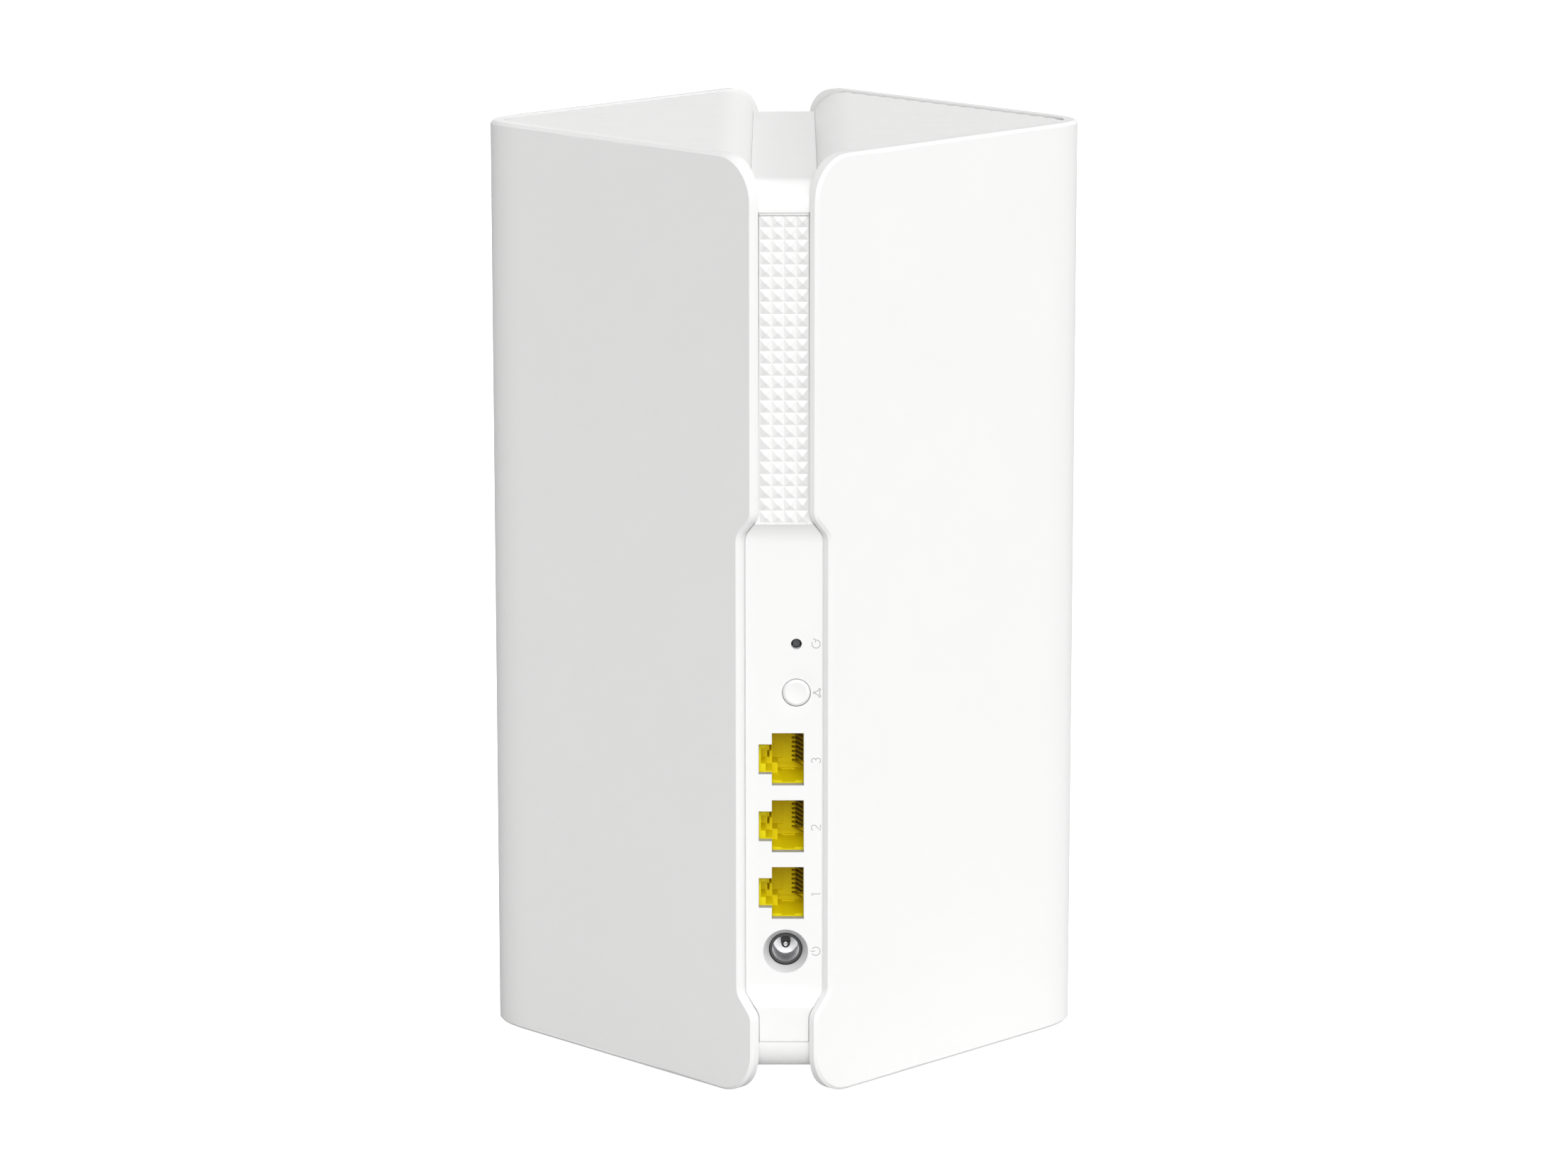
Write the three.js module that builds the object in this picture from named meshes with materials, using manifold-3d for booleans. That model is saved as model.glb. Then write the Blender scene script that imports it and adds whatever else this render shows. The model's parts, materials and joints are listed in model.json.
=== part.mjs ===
// Tall mesh-system wireless router. Two prism-shaped wings stand either side of a narrow central spine.
// Millimetres, +Z up. The origin is on the surface it stands on, under the middle of the router.
// The sockets face -Y (rear), the status light faces +Y (front), and the wings are to -X and +X.

import * as THREE from 'three';
import { mergeVertices } from 'three/addons/utils/BufferGeometryUtils.js';
import Module from 'manifold-3d';

const wasm = await Module();
wasm.setup();

// ---------------------------------------------------------------- overall form
const HEIGHT = 210;
const FOOT_LIFT = 1.2;            // floor to the bottom edge of the covers
const HALF_DIAGONAL = 70;         // |x| + |y| on the flat outer faces
const CORNER_TANGENT = 15.5;      // where the left and right corner blends leave the flat faces
const CORNER_FULLNESS = 0.8;      // handle length of the corner blend, as a part of its tangent
const GAP = 0.3;                  // clearance between neighbouring pieces
const OVERRUN = 1;                // how far a cutter runs past what it cuts, or a joined piece into the next

// ---------------------------------------------------------------- outer covers
const COVER_WALL = 2.1;
const COVER_LIP = 3.1;            // wall thickness at the top and bottom rims
const COVER_LIP_HEIGHT = 1.6;
const COVER_EDGE_NARROW = 7.0;    // |x| of a cover's free edge beside the strips
const COVER_EDGE_WIDE = 10.05;    // |x| of the rear free edge beside the socket panel
const COVER_SHOULDER = 10;        // radius of the free edge's top and bottom corners
const COVER_MIDDLE = 2;           // |x| from which a cover is drawn, before its free edges are cut
const WIDE_TOP = 127;             // heights between which the rear free edges stand wider
const WIDE_BOTTOM = 24.4;
const NARROW_ABOVE = 131.6;
const NARROW_BELOW = 19.9;

// ---------------------------------------------------------------- inner cases
const CASE_RECESS = 0.4;          // top and bottom of the inner cases below the covers' rims
const CASE_TOP = HEIGHT - CASE_RECESS;
const CASE_BOTTOM = FOOT_LIFT + CASE_RECESS;
const CASE_INSET = COVER_LIP + GAP;
const CASE_WALL = 1.8;
const CHANNEL_HALF_WIDTH = 6.4;   // inner faces of the two wings
const CASE_SHOULDER = 8.5;
const BASE_JOIN = 17;             // |x| where the case's bottom flange ends and the base plate starts
const LEDGE_REACH = 25;
const LEDGE_HALF_LENGTH = 32;
const LEDGE_TOP = 7.5;
const LEDGE_ROOT = 3;             // how far back over the flange the ledge starts
const LEDGE_STEP = 0.2;
const LEDGE_SKIN = 0.8;           // left above a blind screw hole
const ANTENNA_Y = 16;
const ANTENNA_X = 37;
const ANTENNA_THICKNESS = 0.8;
const ANTENNA_HALF_LENGTH = 9;
const ANTENNA_BOTTOM = 158;
const ANTENNA_CLIP = { jaw: 1.2, halfLength: 4, drop: 9 };
const SOCKET_WINDOW = { front: -36, low: 17, high: 134.5 };

// ---------------------------------------------------------------- base plates and feet
const BASE_THICKNESS = 2.4;
const BASE_SCREW_X = 21;
const BASE_SCREW_YS = [-24, 24];
const BASE_SCREW_HEAD = { setback: 0.1, thickness: 0.9, recess: 1.3 };
const BASE_SCREW_TIP = 1.1;       // from the end of the shank to the ledge's top
const SCREW_HEAD_RADIUS = 2.5;
const FOOT_RADIUS = 5;
const FOOT_TAPER = 0.3;
const INNER_FOOT = { x: 24, y: 34 };
const OUTER_FOOT_X = 52;
const VENT = { count: 4, pitch: 5, firstX: 27, halfWidth: 0.9, longest: 14, margin: 4 };

// ---------------------------------------------------------------- spine
const SPINE_TOP = 204.6;
const SPINE_BOTTOM = 6.7;
const SPINE_FACE = 60.8;          // |y| of the strips and caps
const SPINE_FILLET = 6.5;
const SPINE_HALF_WIDTH = 6.1;
const SPINE_SKIN = 2;
const CAP_SIDE = 6.9;             // depth of a cap's skirt, down to its seam
const STRIP_HALF_WIDTH = 5.7;
const PANEL_FACE = 58.8;          // |y| of the socket panel
const PANEL_HALF_WIDTH = 8.3;
const STRIP_LOW_END = 130.3;      // the rear strip's lower end, where it slopes in to the panel
const SLOPE_BELOW = 21.6;         // where the panel slopes out again
const SEAM_TOP = SPINE_TOP - CAP_SIDE;
const SEAM_BOTTOM = SPINE_BOTTOM + CAP_SIDE;
const SEAM_HALF = GAP / 2;
const FRAME_HALF_WIDTH = 5.9;
const FRAME_REAR = -30;
const FRAME_FRONT = 52;
const FRAME_BOTTOM = 15;
const FRAME_TOP = 196;
const FRAME_BAR = 4;
const PANEL_CORNER = 0.5;         // the panel's narrow corners stand this far inside the covers' corners

// ---------------------------------------------------------------- sockets and buttons
const LAN_COUNT = 3;
const LAN_FIRST_Z = 47;
const LAN_PITCH = 15.1;
const LAN_MOUTH = { left: -2.7, right: 4.37, halfHeight: 5.9 };
const LAN_NOTCH = { left: -5.57, halfHeight: 3.39 };
const JACK_FACE = PANEL_FACE - SPINE_SKIN - GAP;
const JACK_DEPTH = 20;
const JACK_CAVITY = 15;
const JACK_NOTCH_CAVITY = 10;
const JACK_LEFT = -8.2;
const JACK_RIGHT = 6.1;
const JACK_HALF_HEIGHT = 7.4;
const CONTACT_COUNT = 8;
const CONTACT_PITCH = 1.02;
const CONTACT_WIDTH = 0.45;
const CONTACT_DEPTH = 10.5;       // from the panel's face to the first part of a contact
const CONTACT_TIP = 1.2;
const CONTACT_ROOT = { near: 2.6, far: 1.7 };
const CARRIER = { left: -0.3, depth: 1.6, shortfall: 1.2 };
const JACK_INSET = 0.1;           // the jack's bay stands inside the panel's mouth by this much
const DC = { x: 0.36, z: 33.75, mouthRadius: 5, throatRadius: 4, noseRadius: 3.7, boreRadius: 3.3 };
const DC_SLEEVE = { outer: 3.1, inner: 2.9 };
const DC_PIN = { radius: 0.85, depth: 5.9 };
const DC_HOUSING = { halfWidth: 4.5, halfHeight: 5.4, back: 43 };
const DC_BORE_END = 47;
const DC_NOSE_LENGTH = 0.4;
const BUTTON_X = 2.7;
const MESH_Z = 92.1;
const MESH_HOLE_RADIUS = 3.15;
const MESH_CAP_RADIUS = 2.9;
const MESH_CAP_PROUD = 0.15;
const MESH_FLANGE = { wider: 1.1, thickness: 0.8 };
const MESH_STEM = { radius: 1.3, clearance: 1.1 };
const MESH_PLUNGER = { radius: 1.2, proud: 0.8 };    // proud of its switch
const RESET_Z = 103;
const RESET_HOLE_RADIUS = 1.2;
const RESET_PLUNGER = { radius: 0.9, setback: 1.2 };
const SWITCH_FACE = 53.9;
const SWITCH_BACK = 50.9;
const SWITCH_HALF_WIDTH = 3;
const PLUNGER_ROOT = 0.9;         // how far a plunger reaches into its switch
const PLUNGER_WELL = 2.2;         // depth of the well that it moves in

// ---------------------------------------------------------------- electronics
const BOARD = { left: -10.1, right: -8.5, rear: -55.5, front: 45, bottom: 15, top: 150 };
const BOARD_SCREWS = [[-30, 25], [38, 25], [-30, 143], [38, 143]];
const BOARD_SCREW_HEAD = 1.4;
const BOARD_SCREW_SKIN = 0.5;     // left beyond a blind screw hole
const BOARD_SCREW_TIP = 0.8;
const SCREW_HOLE_RADIUS = 1.5;
const SCREW_SHANK_RADIUS = 1.2;
const LEAD_RADIUS = 0.65;
const LEAD_HOLE_RADIUS = 5;
const LEAD_HOLE_Z = 140;
const LIGHT_Z = 32;
const LIGHT_RADIUS = 2;
const LENS_FLANGE = 1;
const LENS_SETBACK = 0.05;
const LED_SIZE = 2.4;
const TRANSFORMER = { height: 5.6, rear: -36, front: -22, halfHeight: 5.5 };
const CAPACITOR = { y: -14, z: 27, radius: 4, height: 11 };
const SHIELD = { rear: -18, front: 30, bottom: 46, top: 76, height: 3.2, sheet: 0.6 };

// Round holes and pegs are drawn with this many sides, and curves with these numbers of steps.
const ROUND_SIDES = 24;
const PLAN_STEPS = 10;
const FILLET_STEPS = 8;
const PLAIN_STEPS = 6;
const LEAD_STEPS = 24;
const LEAD_SECTION_STEPS = 4;

const router = new THREE.Group();

const MATERIALS = {
  coverWhite: { color: 0xf1f1f0, roughness: 0.45, metalness: 0 },
  caseWhite: { color: 0xe9e9e8, roughness: 0.55, metalness: 0 },
  spineWhite: { color: 0xf1f1f0, roughness: 0.4, metalness: 0 },
  baseGrey: { color: 0xd9dadb, roughness: 0.6, metalness: 0 },
  rubber: { color: 0x8d8f91, roughness: 0.9, metalness: 0 },
  jackYellow: { color: 0xe0bd05, roughness: 0.35, metalness: 0 },
  gold: { color: 0xc9a24a, roughness: 0.3, metalness: 1 },
  blackPlastic: { color: 0x2a2a2c, roughness: 0.5, metalness: 0 },
  chrome: { color: 0xd8d9db, roughness: 0.12, metalness: 1 },
  steel: { color: 0xb4b6b8, roughness: 0.35, metalness: 1 },
  boardGreen: { color: 0x1d4f3a, roughness: 0.5, metalness: 0 },
  aluminium: { color: 0xc2c4c6, roughness: 0.35, metalness: 1 },
  padBlue: { color: 0x7d93b8, roughness: 0.8, metalness: 0 },
  lens: { color: 0xdfe8ee, roughness: 0.15, metalness: 0 },
  leadGrey: { color: 0x55575a, roughness: 0.6, metalness: 0 },
};

// ---------------------------------------------------------------- solid helpers

function solid(geometry) {
  const bare = geometry.clone();
  bare.deleteAttribute('normal');
  bare.deleteAttribute('uv');
  const merged = mergeVertices(bare, 1e-4);
  const mesh = new wasm.Mesh({
    numProp: 3,
    vertProperties: new Float32Array(merged.attributes.position.array),
    triVerts: new Uint32Array(merged.index.array),
  });
  return new wasm.Manifold(mesh);
}

function geometryOf(manifold) {
  const mesh = manifold.getMesh();
  const geometry = new THREE.BufferGeometry();
  const places = new Float32Array(mesh.vertProperties);
  const triangles = new Uint32Array(mesh.triVerts);
  geometry.setAttribute('position', new THREE.BufferAttribute(places, 3));
  geometry.setIndex(new THREE.BufferAttribute(triangles, 1));
  geometry.computeVertexNormals();
  return geometry;
}

function add(name, materialName, piece) {
  const geometry = piece.isBufferGeometry ? piece : geometryOf(piece);
  const material = new THREE.MeshStandardMaterial({ ...MATERIALS[materialName], flatShading: true });
  const mesh = new THREE.Mesh(geometry, material);
  mesh.name = name;
  router.add(mesh);
}

// A shape drawn in the plane across an axis, swept along it from low to high.
// Across x it is drawn in (y, z), across y in (x, z) and across z in (x, y).
function prism(shape, axis, low, high, curveSegments = PLAIN_STEPS) {
  const options = { depth: high - low, bevelEnabled: false, curveSegments };
  const geometry = new THREE.ExtrudeGeometry(shape, options);
  const frame = new THREE.Matrix4();
  const x = new THREE.Vector3(1, 0, 0);
  const y = new THREE.Vector3(0, 1, 0);
  const z = new THREE.Vector3(0, 0, 1);
  if (axis === 'x') frame.makeBasis(y, z, x).setPosition(low, 0, 0);
  if (axis === 'y') frame.makeBasis(x, z, y.negate()).setPosition(0, high, 0);
  if (axis === 'z') frame.setPosition(0, 0, low);
  return solid(geometry.applyMatrix4(frame));
}

function block(x0, x1, y0, y1, z0, z1) {
  const geometry = new THREE.BoxGeometry(Math.abs(x1 - x0), Math.abs(y1 - y0), Math.abs(z1 - z0));
  return solid(geometry.translate((x0 + x1) / 2, (y0 + y1) / 2, (z0 + z1) / 2));
}

// A cone or cylinder lying along an axis, with its radius at the low end and at the high end.
function peg(axis, centre, low, high, lowRadius, highRadius = lowRadius, sides = ROUND_SIDES) {
  const geometry = new THREE.CylinderGeometry(highRadius, lowRadius, high - low, sides);
  const middle = (low + high) / 2;
  if (axis === 'x') geometry.rotateZ(-Math.PI / 2).translate(middle, centre[0], centre[1]);
  if (axis === 'y') geometry.translate(centre[0], middle, centre[1]);
  if (axis === 'z') geometry.rotateX(Math.PI / 2).translate(centre[0], centre[1], middle);
  return solid(geometry);
}

function polygon(points) {
  return new THREE.Shape(points.map(([a, b]) => new THREE.Vector2(a, b)));
}

function cutAll(body, cutters) {
  return cutters.reduce((rest, cutter) => rest.subtract(cutter), body);
}

function joinAll(pieces) {
  return pieces.reduce((whole, piece) => whole.add(piece));
}

// A quarter round from the path's current point to the end, inside the right angle at the corner.
function roundCorner(path, corner, end) {
  const handle = 0.5523;
  const start = path.currentPoint.clone();
  const [cx, cy] = corner;
  path.bezierCurveTo(
    start.x + handle * (cx - start.x), start.y + handle * (cy - start.y),
    end[0] + handle * (cx - end[0]), end[1] + handle * (cy - end[1]),
    end[0], end[1],
  );
}

// ---------------------------------------------------------------- plan of a wing

// One wing seen from above, drawn inward from its flat faces by inset and closed at |x| = innerX.
function wingPlan(side, inset, innerX) {
  const reach = HALF_DIAGONAL - inset * Math.SQRT2;
  const tangent = (CORNER_TANGENT - inset) / Math.SQRT2;
  const handle = tangent * (1 - CORNER_FULLNESS);
  const plan = new THREE.Shape();
  plan.moveTo(side * innerX, innerX - reach);
  plan.lineTo(side * (reach - tangent), -tangent);
  plan.bezierCurveTo(
    side * (reach - handle), -handle,
    side * (reach - handle), handle,
    side * (reach - tangent), tangent,
  );
  plan.lineTo(side * innerX, reach - innerX);
  plan.closePath();
  return plan;
}

// ---------------------------------------------------------------- outer covers

// What lies beyond a cover's free edge, across the flat face that ends there.
// It is drawn in the plane of that face: distance from the virtual corner, and height.
function beyondFreeEdge(side, end) {
  const along = (x) => Math.SQRT2 * (HALF_DIAGONAL - x);
  const narrow = along(COVER_EDGE_NARROW);
  const wide = along(COVER_EDGE_WIDE);
  const past = along(-COVER_EDGE_NARROW);
  const start = narrow - COVER_SHOULDER;
  const shape = new THREE.Shape();
  shape.moveTo(start, HEIGHT + OVERRUN);
  shape.lineTo(start, HEIGHT);
  roundCorner(shape, [narrow, HEIGHT], [narrow, HEIGHT - COVER_SHOULDER]);
  if (end < 0) {
    shape.lineTo(narrow, NARROW_ABOVE);
    shape.lineTo(wide, WIDE_TOP);
    shape.lineTo(wide, WIDE_BOTTOM);
    shape.lineTo(narrow, NARROW_BELOW);
  }
  shape.lineTo(narrow, FOOT_LIFT + COVER_SHOULDER);
  roundCorner(shape, [narrow, FOOT_LIFT], [start, FOOT_LIFT]);
  shape.lineTo(start, FOOT_LIFT - OVERRUN);
  shape.lineTo(past, FOOT_LIFT - OVERRUN);
  shape.lineTo(past, HEIGHT + OVERRUN);
  shape.closePath();

  const reach = COVER_LIP + OVERRUN;
  const options = { depth: 2 * reach, bevelEnabled: false, curveSegments: FILLET_STEPS };
  const geometry = new THREE.ExtrudeGeometry(shape, options);
  const along3 = new THREE.Vector3(-side, end, 0).normalize();
  const up = new THREE.Vector3(0, 0, 1);
  const across = new THREE.Vector3().crossVectors(along3, up);
  const frame = new THREE.Matrix4().makeBasis(along3, up, across);
  frame.setPosition(side * HALF_DIAGONAL - reach * across.x, -reach * across.y, 0);
  return solid(geometry.applyMatrix4(frame));
}

function outerCover(side) {
  const body = prism(wingPlan(side, 0, COVER_MIDDLE), 'z', FOOT_LIFT, HEIGHT, PLAN_STEPS);
  const hollow = wingPlan(side, COVER_WALL, COVER_MIDDLE - OVERRUN);
  const hollowLow = FOOT_LIFT + COVER_LIP_HEIGHT;
  const hollowHigh = HEIGHT - COVER_LIP_HEIGHT;
  const mouth = wingPlan(side, COVER_LIP, COVER_MIDDLE - OVERRUN);
  return cutAll(body, [
    prism(hollow, 'z', hollowLow, hollowHigh, PLAN_STEPS),
    prism(mouth, 'z', FOOT_LIFT - OVERRUN, HEIGHT + OVERRUN, PLAN_STEPS),
    beyondFreeEdge(side, -1),
    beyondFreeEdge(side, 1),
  ]);
}

// ---------------------------------------------------------------- inner cases

// The inner case seen from the front: plain top, channel wall and short bottom flange in one skin.
function caseProfile(side) {
  const wall = CHANNEL_HALF_WIDTH;
  const inner = wall + CASE_WALL;
  const bend = wall + CASE_SHOULDER;
  const profile = new THREE.Shape();
  profile.moveTo(side * HALF_DIAGONAL, CASE_TOP);
  profile.lineTo(side * bend, CASE_TOP);
  roundCorner(profile, [side * wall, CASE_TOP], [side * wall, CASE_TOP - CASE_SHOULDER]);
  profile.lineTo(side * wall, CASE_BOTTOM + CASE_SHOULDER);
  roundCorner(profile, [side * wall, CASE_BOTTOM], [side * bend, CASE_BOTTOM]);
  profile.lineTo(side * BASE_JOIN, CASE_BOTTOM);
  profile.lineTo(side * BASE_JOIN, CASE_BOTTOM + CASE_WALL);
  profile.lineTo(side * bend, CASE_BOTTOM + CASE_WALL);
  roundCorner(profile, [side * inner, CASE_BOTTOM + CASE_WALL], [side * inner, CASE_BOTTOM + CASE_SHOULDER]);
  profile.lineTo(side * inner, CASE_TOP - CASE_SHOULDER);
  roundCorner(profile, [side * inner, CASE_TOP - CASE_WALL], [side * bend, CASE_TOP - CASE_WALL]);
  profile.lineTo(side * HALF_DIAGONAL, CASE_TOP - CASE_WALL);
  profile.closePath();
  return profile;
}

// A pair of jaws under the top skin that hold one antenna card.
function antennaClip(side, y) {
  const { jaw, halfLength, drop } = ANTENNA_CLIP;
  const near = ANTENNA_THICKNESS / 2 + GAP;
  const x0 = side * (ANTENNA_X - halfLength);
  const x1 = side * (ANTENNA_X + halfLength);
  const low = CASE_TOP - drop;
  const high = CASE_TOP - CASE_WALL / 2;
  return joinAll([
    block(x0, x1, y - near - jaw, y - near, low, high),
    block(x0, x1, y + near, y + near + jaw, low, high),
  ]);
}

// The ledge that laps over the base plate and takes its screws.
function baseLedge(side) {
  const rootX = side * (BASE_JOIN - LEDGE_ROOT);
  const riserX = side * (BASE_JOIN - LEDGE_STEP);
  const step = CASE_BOTTOM + BASE_THICKNESS + GAP;
  const y = LEDGE_HALF_LENGTH;
  return joinAll([
    block(rootX, riserX, -y, y, CASE_BOTTOM + OVERRUN, LEDGE_TOP),
    block(rootX, side * LEDGE_REACH, -y, y, step, LEDGE_TOP),
  ]);
}

function innerCase(side) {
  const wallX = [side * (CHANNEL_HALF_WIDTH - OVERRUN), side * (CHANNEL_HALF_WIDTH + CASE_WALL + OVERRUN)];
  const skin = prism(caseProfile(side), 'y', -HALF_DIAGONAL, HALF_DIAGONAL, FILLET_STEPS);
  const body = joinAll([skin, baseLedge(side), antennaClip(side, -ANTENNA_Y), antennaClip(side, ANTENNA_Y)]);
  const { front, low, high } = SOCKET_WINDOW;
  const cuts = [
    block(wallX[0], wallX[1], -HALF_DIAGONAL, front, low, high),
    peg('x', [0, LEAD_HOLE_Z], Math.min(...wallX), Math.max(...wallX), LEAD_HOLE_RADIUS),
  ];
  for (const y of BASE_SCREW_YS) {
    cuts.push(peg('z', [side * BASE_SCREW_X, y], CASE_BOTTOM, LEDGE_TOP - LEDGE_SKIN, SCREW_HOLE_RADIUS));
  }
  if (side < 0) {
    for (const [y, z] of BOARD_SCREWS) {
      const end = -CHANNEL_HALF_WIDTH - BOARD_SCREW_SKIN;
      cuts.push(peg('x', [y, z], BOARD.right - OVERRUN, end, SCREW_HOLE_RADIUS));
    }
  }
  const plan = prism(wingPlan(side, CASE_INSET, COVER_MIDDLE - OVERRUN), 'z', 0, HEIGHT, PLAN_STEPS);
  return cutAll(body.intersect(plan), cuts);
}

// ---------------------------------------------------------------- base plates and feet

function basePlate(side) {
  const top = CASE_BOTTOM + BASE_THICKNESS;
  const under = CASE_BOTTOM - OVERRUN;
  const plate = prism(wingPlan(side, CASE_INSET, BASE_JOIN + GAP), 'z', CASE_BOTTOM, top, PLAN_STEPS);
  const cuts = [];
  for (const y of BASE_SCREW_YS) {
    const centre = [side * BASE_SCREW_X, y];
    cuts.push(peg('z', centre, under, top + OVERRUN, SCREW_HOLE_RADIUS));
    cuts.push(peg('z', centre, under, CASE_BOTTOM + BASE_SCREW_HEAD.recess, SCREW_HEAD_RADIUS + GAP));
  }
  for (let i = 0; i < VENT.count; i += 1) {
    const x = VENT.firstX + i * VENT.pitch;
    const half = Math.min(VENT.longest, (HALF_DIAGONAL - x) / 2 - VENT.margin);
    const x0 = side * (x - VENT.halfWidth);
    const x1 = side * (x + VENT.halfWidth);
    cuts.push(block(x0, x1, -half, half, under, top + OVERRUN));
  }
  return cutAll(plate, cuts);
}

function baseScrew(side, y) {
  const centre = [side * BASE_SCREW_X, y];
  const low = CASE_BOTTOM + BASE_SCREW_HEAD.setback;
  const head = peg('z', centre, low, low + BASE_SCREW_HEAD.thickness, SCREW_HEAD_RADIUS);
  const shankLow = low + BASE_SCREW_HEAD.thickness - BASE_SCREW_HEAD.setback;
  const shank = peg('z', centre, shankLow, LEDGE_TOP - BASE_SCREW_TIP, SCREW_SHANK_RADIUS);
  return head.add(shank);
}

function foot(side, x, y) {
  return peg('z', [side * x, y], 0, CASE_BOTTOM - GAP, FOOT_RADIUS - FOOT_TAPER, FOOT_RADIUS);
}

// ---------------------------------------------------------------- spine caps and strips

// A cap wraps over the spine from its rear seam to its front seam. up is +1 for the top, -1 for the bottom.
function spineCap(up) {
  const crown = up > 0 ? SPINE_TOP : SPINE_BOTTOM;
  const seam = (up > 0 ? SEAM_TOP : SEAM_BOTTOM) + up * SEAM_HALF;
  const bend = SPINE_FACE - SPINE_FILLET;
  const skin = SPINE_FACE - SPINE_SKIN;
  const profile = new THREE.Shape();
  profile.moveTo(-SPINE_FACE, seam);
  profile.lineTo(-SPINE_FACE, crown - up * SPINE_FILLET);
  roundCorner(profile, [-SPINE_FACE, crown], [-bend, crown]);
  profile.lineTo(bend, crown);
  roundCorner(profile, [SPINE_FACE, crown], [SPINE_FACE, crown - up * SPINE_FILLET]);
  profile.lineTo(SPINE_FACE, seam);
  profile.lineTo(skin, seam);
  profile.lineTo(skin, crown - up * SPINE_FILLET);
  roundCorner(profile, [skin, crown - up * SPINE_SKIN], [bend, crown - up * SPINE_SKIN]);
  profile.lineTo(-bend, crown - up * SPINE_SKIN);
  roundCorner(profile, [-skin, crown - up * SPINE_SKIN], [-skin, crown - up * SPINE_FILLET]);
  profile.lineTo(-skin, seam);
  profile.closePath();

  // The two ends narrow to clear the covers' inner faces.
  const reach = HALF_DIAGONAL - (COVER_WALL + GAP) * Math.SQRT2;
  const between = polygon([[-reach, 0], [0, -reach], [reach, 0], [0, reach]]);
  const clear = prism(between, 'z', 0, HEIGHT);
  return prism(profile, 'x', -SPINE_HALF_WIDTH, SPINE_HALF_WIDTH, FILLET_STEPS).intersect(clear);
}

// A network socket's mouth in the panel: the plug's opening and the notch for its latch.
function lanMouth(z, low, high) {
  const { left, right, halfHeight } = LAN_MOUTH;
  const main = block(left, right, low, high, z - halfHeight, z + halfHeight);
  const notchHeight = LAN_NOTCH.halfHeight;
  return main.add(block(LAN_NOTCH.left, left + OVERRUN, low, high, z - notchHeight, z + notchHeight));
}

function lanHeights() {
  return Array.from({ length: LAN_COUNT }, (_, i) => LAN_FIRST_Z + i * LAN_PITCH);
}

// The rear panel: the strip at the top, the sunken socket panel, and the narrow foot below it.
function rearPanel() {
  const top = SEAM_TOP - SEAM_HALF;
  const bottom = SEAM_BOTTOM + SEAM_HALF;
  const step = SPINE_FACE - PANEL_FACE;
  const back = PANEL_FACE - SPINE_SKIN;
  const lean = 0.8;
  const section = polygon([
    [-SPINE_FACE, top], [-SPINE_FACE, STRIP_LOW_END],
    [-PANEL_FACE, STRIP_LOW_END - step], [-PANEL_FACE, SLOPE_BELOW + step],
    [-SPINE_FACE, SLOPE_BELOW], [-SPINE_FACE, bottom],
    [-PANEL_FACE, bottom], [-PANEL_FACE, SLOPE_BELOW + lean],
    [-back, SLOPE_BELOW + step + lean], [-back, STRIP_LOW_END - step - lean],
    [-PANEL_FACE, STRIP_LOW_END - lean], [-PANEL_FACE, top],
  ]);
  const n = STRIP_HALF_WIDTH;
  const w = PANEL_HALF_WIDTH;
  const narrowLow = NARROW_BELOW + PANEL_CORNER;
  const wideLow = WIDE_BOTTOM + GAP;
  const wideHigh = WIDE_TOP - GAP;
  const narrowHigh = NARROW_ABOVE - PANEL_CORNER;
  const face = polygon([
    [-n, bottom], [-n, narrowLow], [-w, wideLow], [-w, wideHigh], [-n, narrowHigh], [-n, top],
    [n, top], [n, narrowHigh], [w, wideHigh], [w, wideLow], [n, narrowLow], [n, bottom],
  ]);
  const front = -PANEL_FACE - OVERRUN;
  const behind = -back + OVERRUN;
  const plate = prism(section, 'x', -w, w).intersect(prism(face, 'y', -SPINE_FACE - OVERRUN, behind));
  const dc = [DC.x, DC.z];
  const cuts = lanHeights().map((z) => lanMouth(z, front, behind));
  cuts.push(peg('y', dc, -PANEL_FACE, -back, DC.mouthRadius, DC.throatRadius));
  cuts.push(peg('y', dc, front, -PANEL_FACE, DC.mouthRadius));
  cuts.push(peg('y', dc, -back - GAP, behind, DC.throatRadius));
  cuts.push(peg('y', [BUTTON_X, MESH_Z], front, behind, MESH_HOLE_RADIUS));
  cuts.push(peg('y', [BUTTON_X, RESET_Z], front, behind, RESET_HOLE_RADIUS));
  return cutAll(plate, cuts);
}

function frontPanel() {
  const n = STRIP_HALF_WIDTH;
  const plate = block(-n, n, PANEL_FACE, SPINE_FACE, SEAM_BOTTOM + SEAM_HALF, SEAM_TOP - SEAM_HALF);
  const hole = peg('y', [0, LIGHT_Z], PANEL_FACE - OVERRUN, SPINE_FACE + OVERRUN, LIGHT_RADIUS + GAP / 2);
  return plate.subtract(hole);
}

function lightLens() {
  const back = PANEL_FACE - GAP - LENS_FLANGE;
  const flange = peg('y', [0, LIGHT_Z], back, back + LENS_FLANGE, LIGHT_RADIUS + LENS_FLANGE);
  const window = peg('y', [0, LIGHT_Z], back + LENS_FLANGE / 2, SPINE_FACE - LENS_SETBACK, LIGHT_RADIUS);
  return flange.add(window);
}

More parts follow.
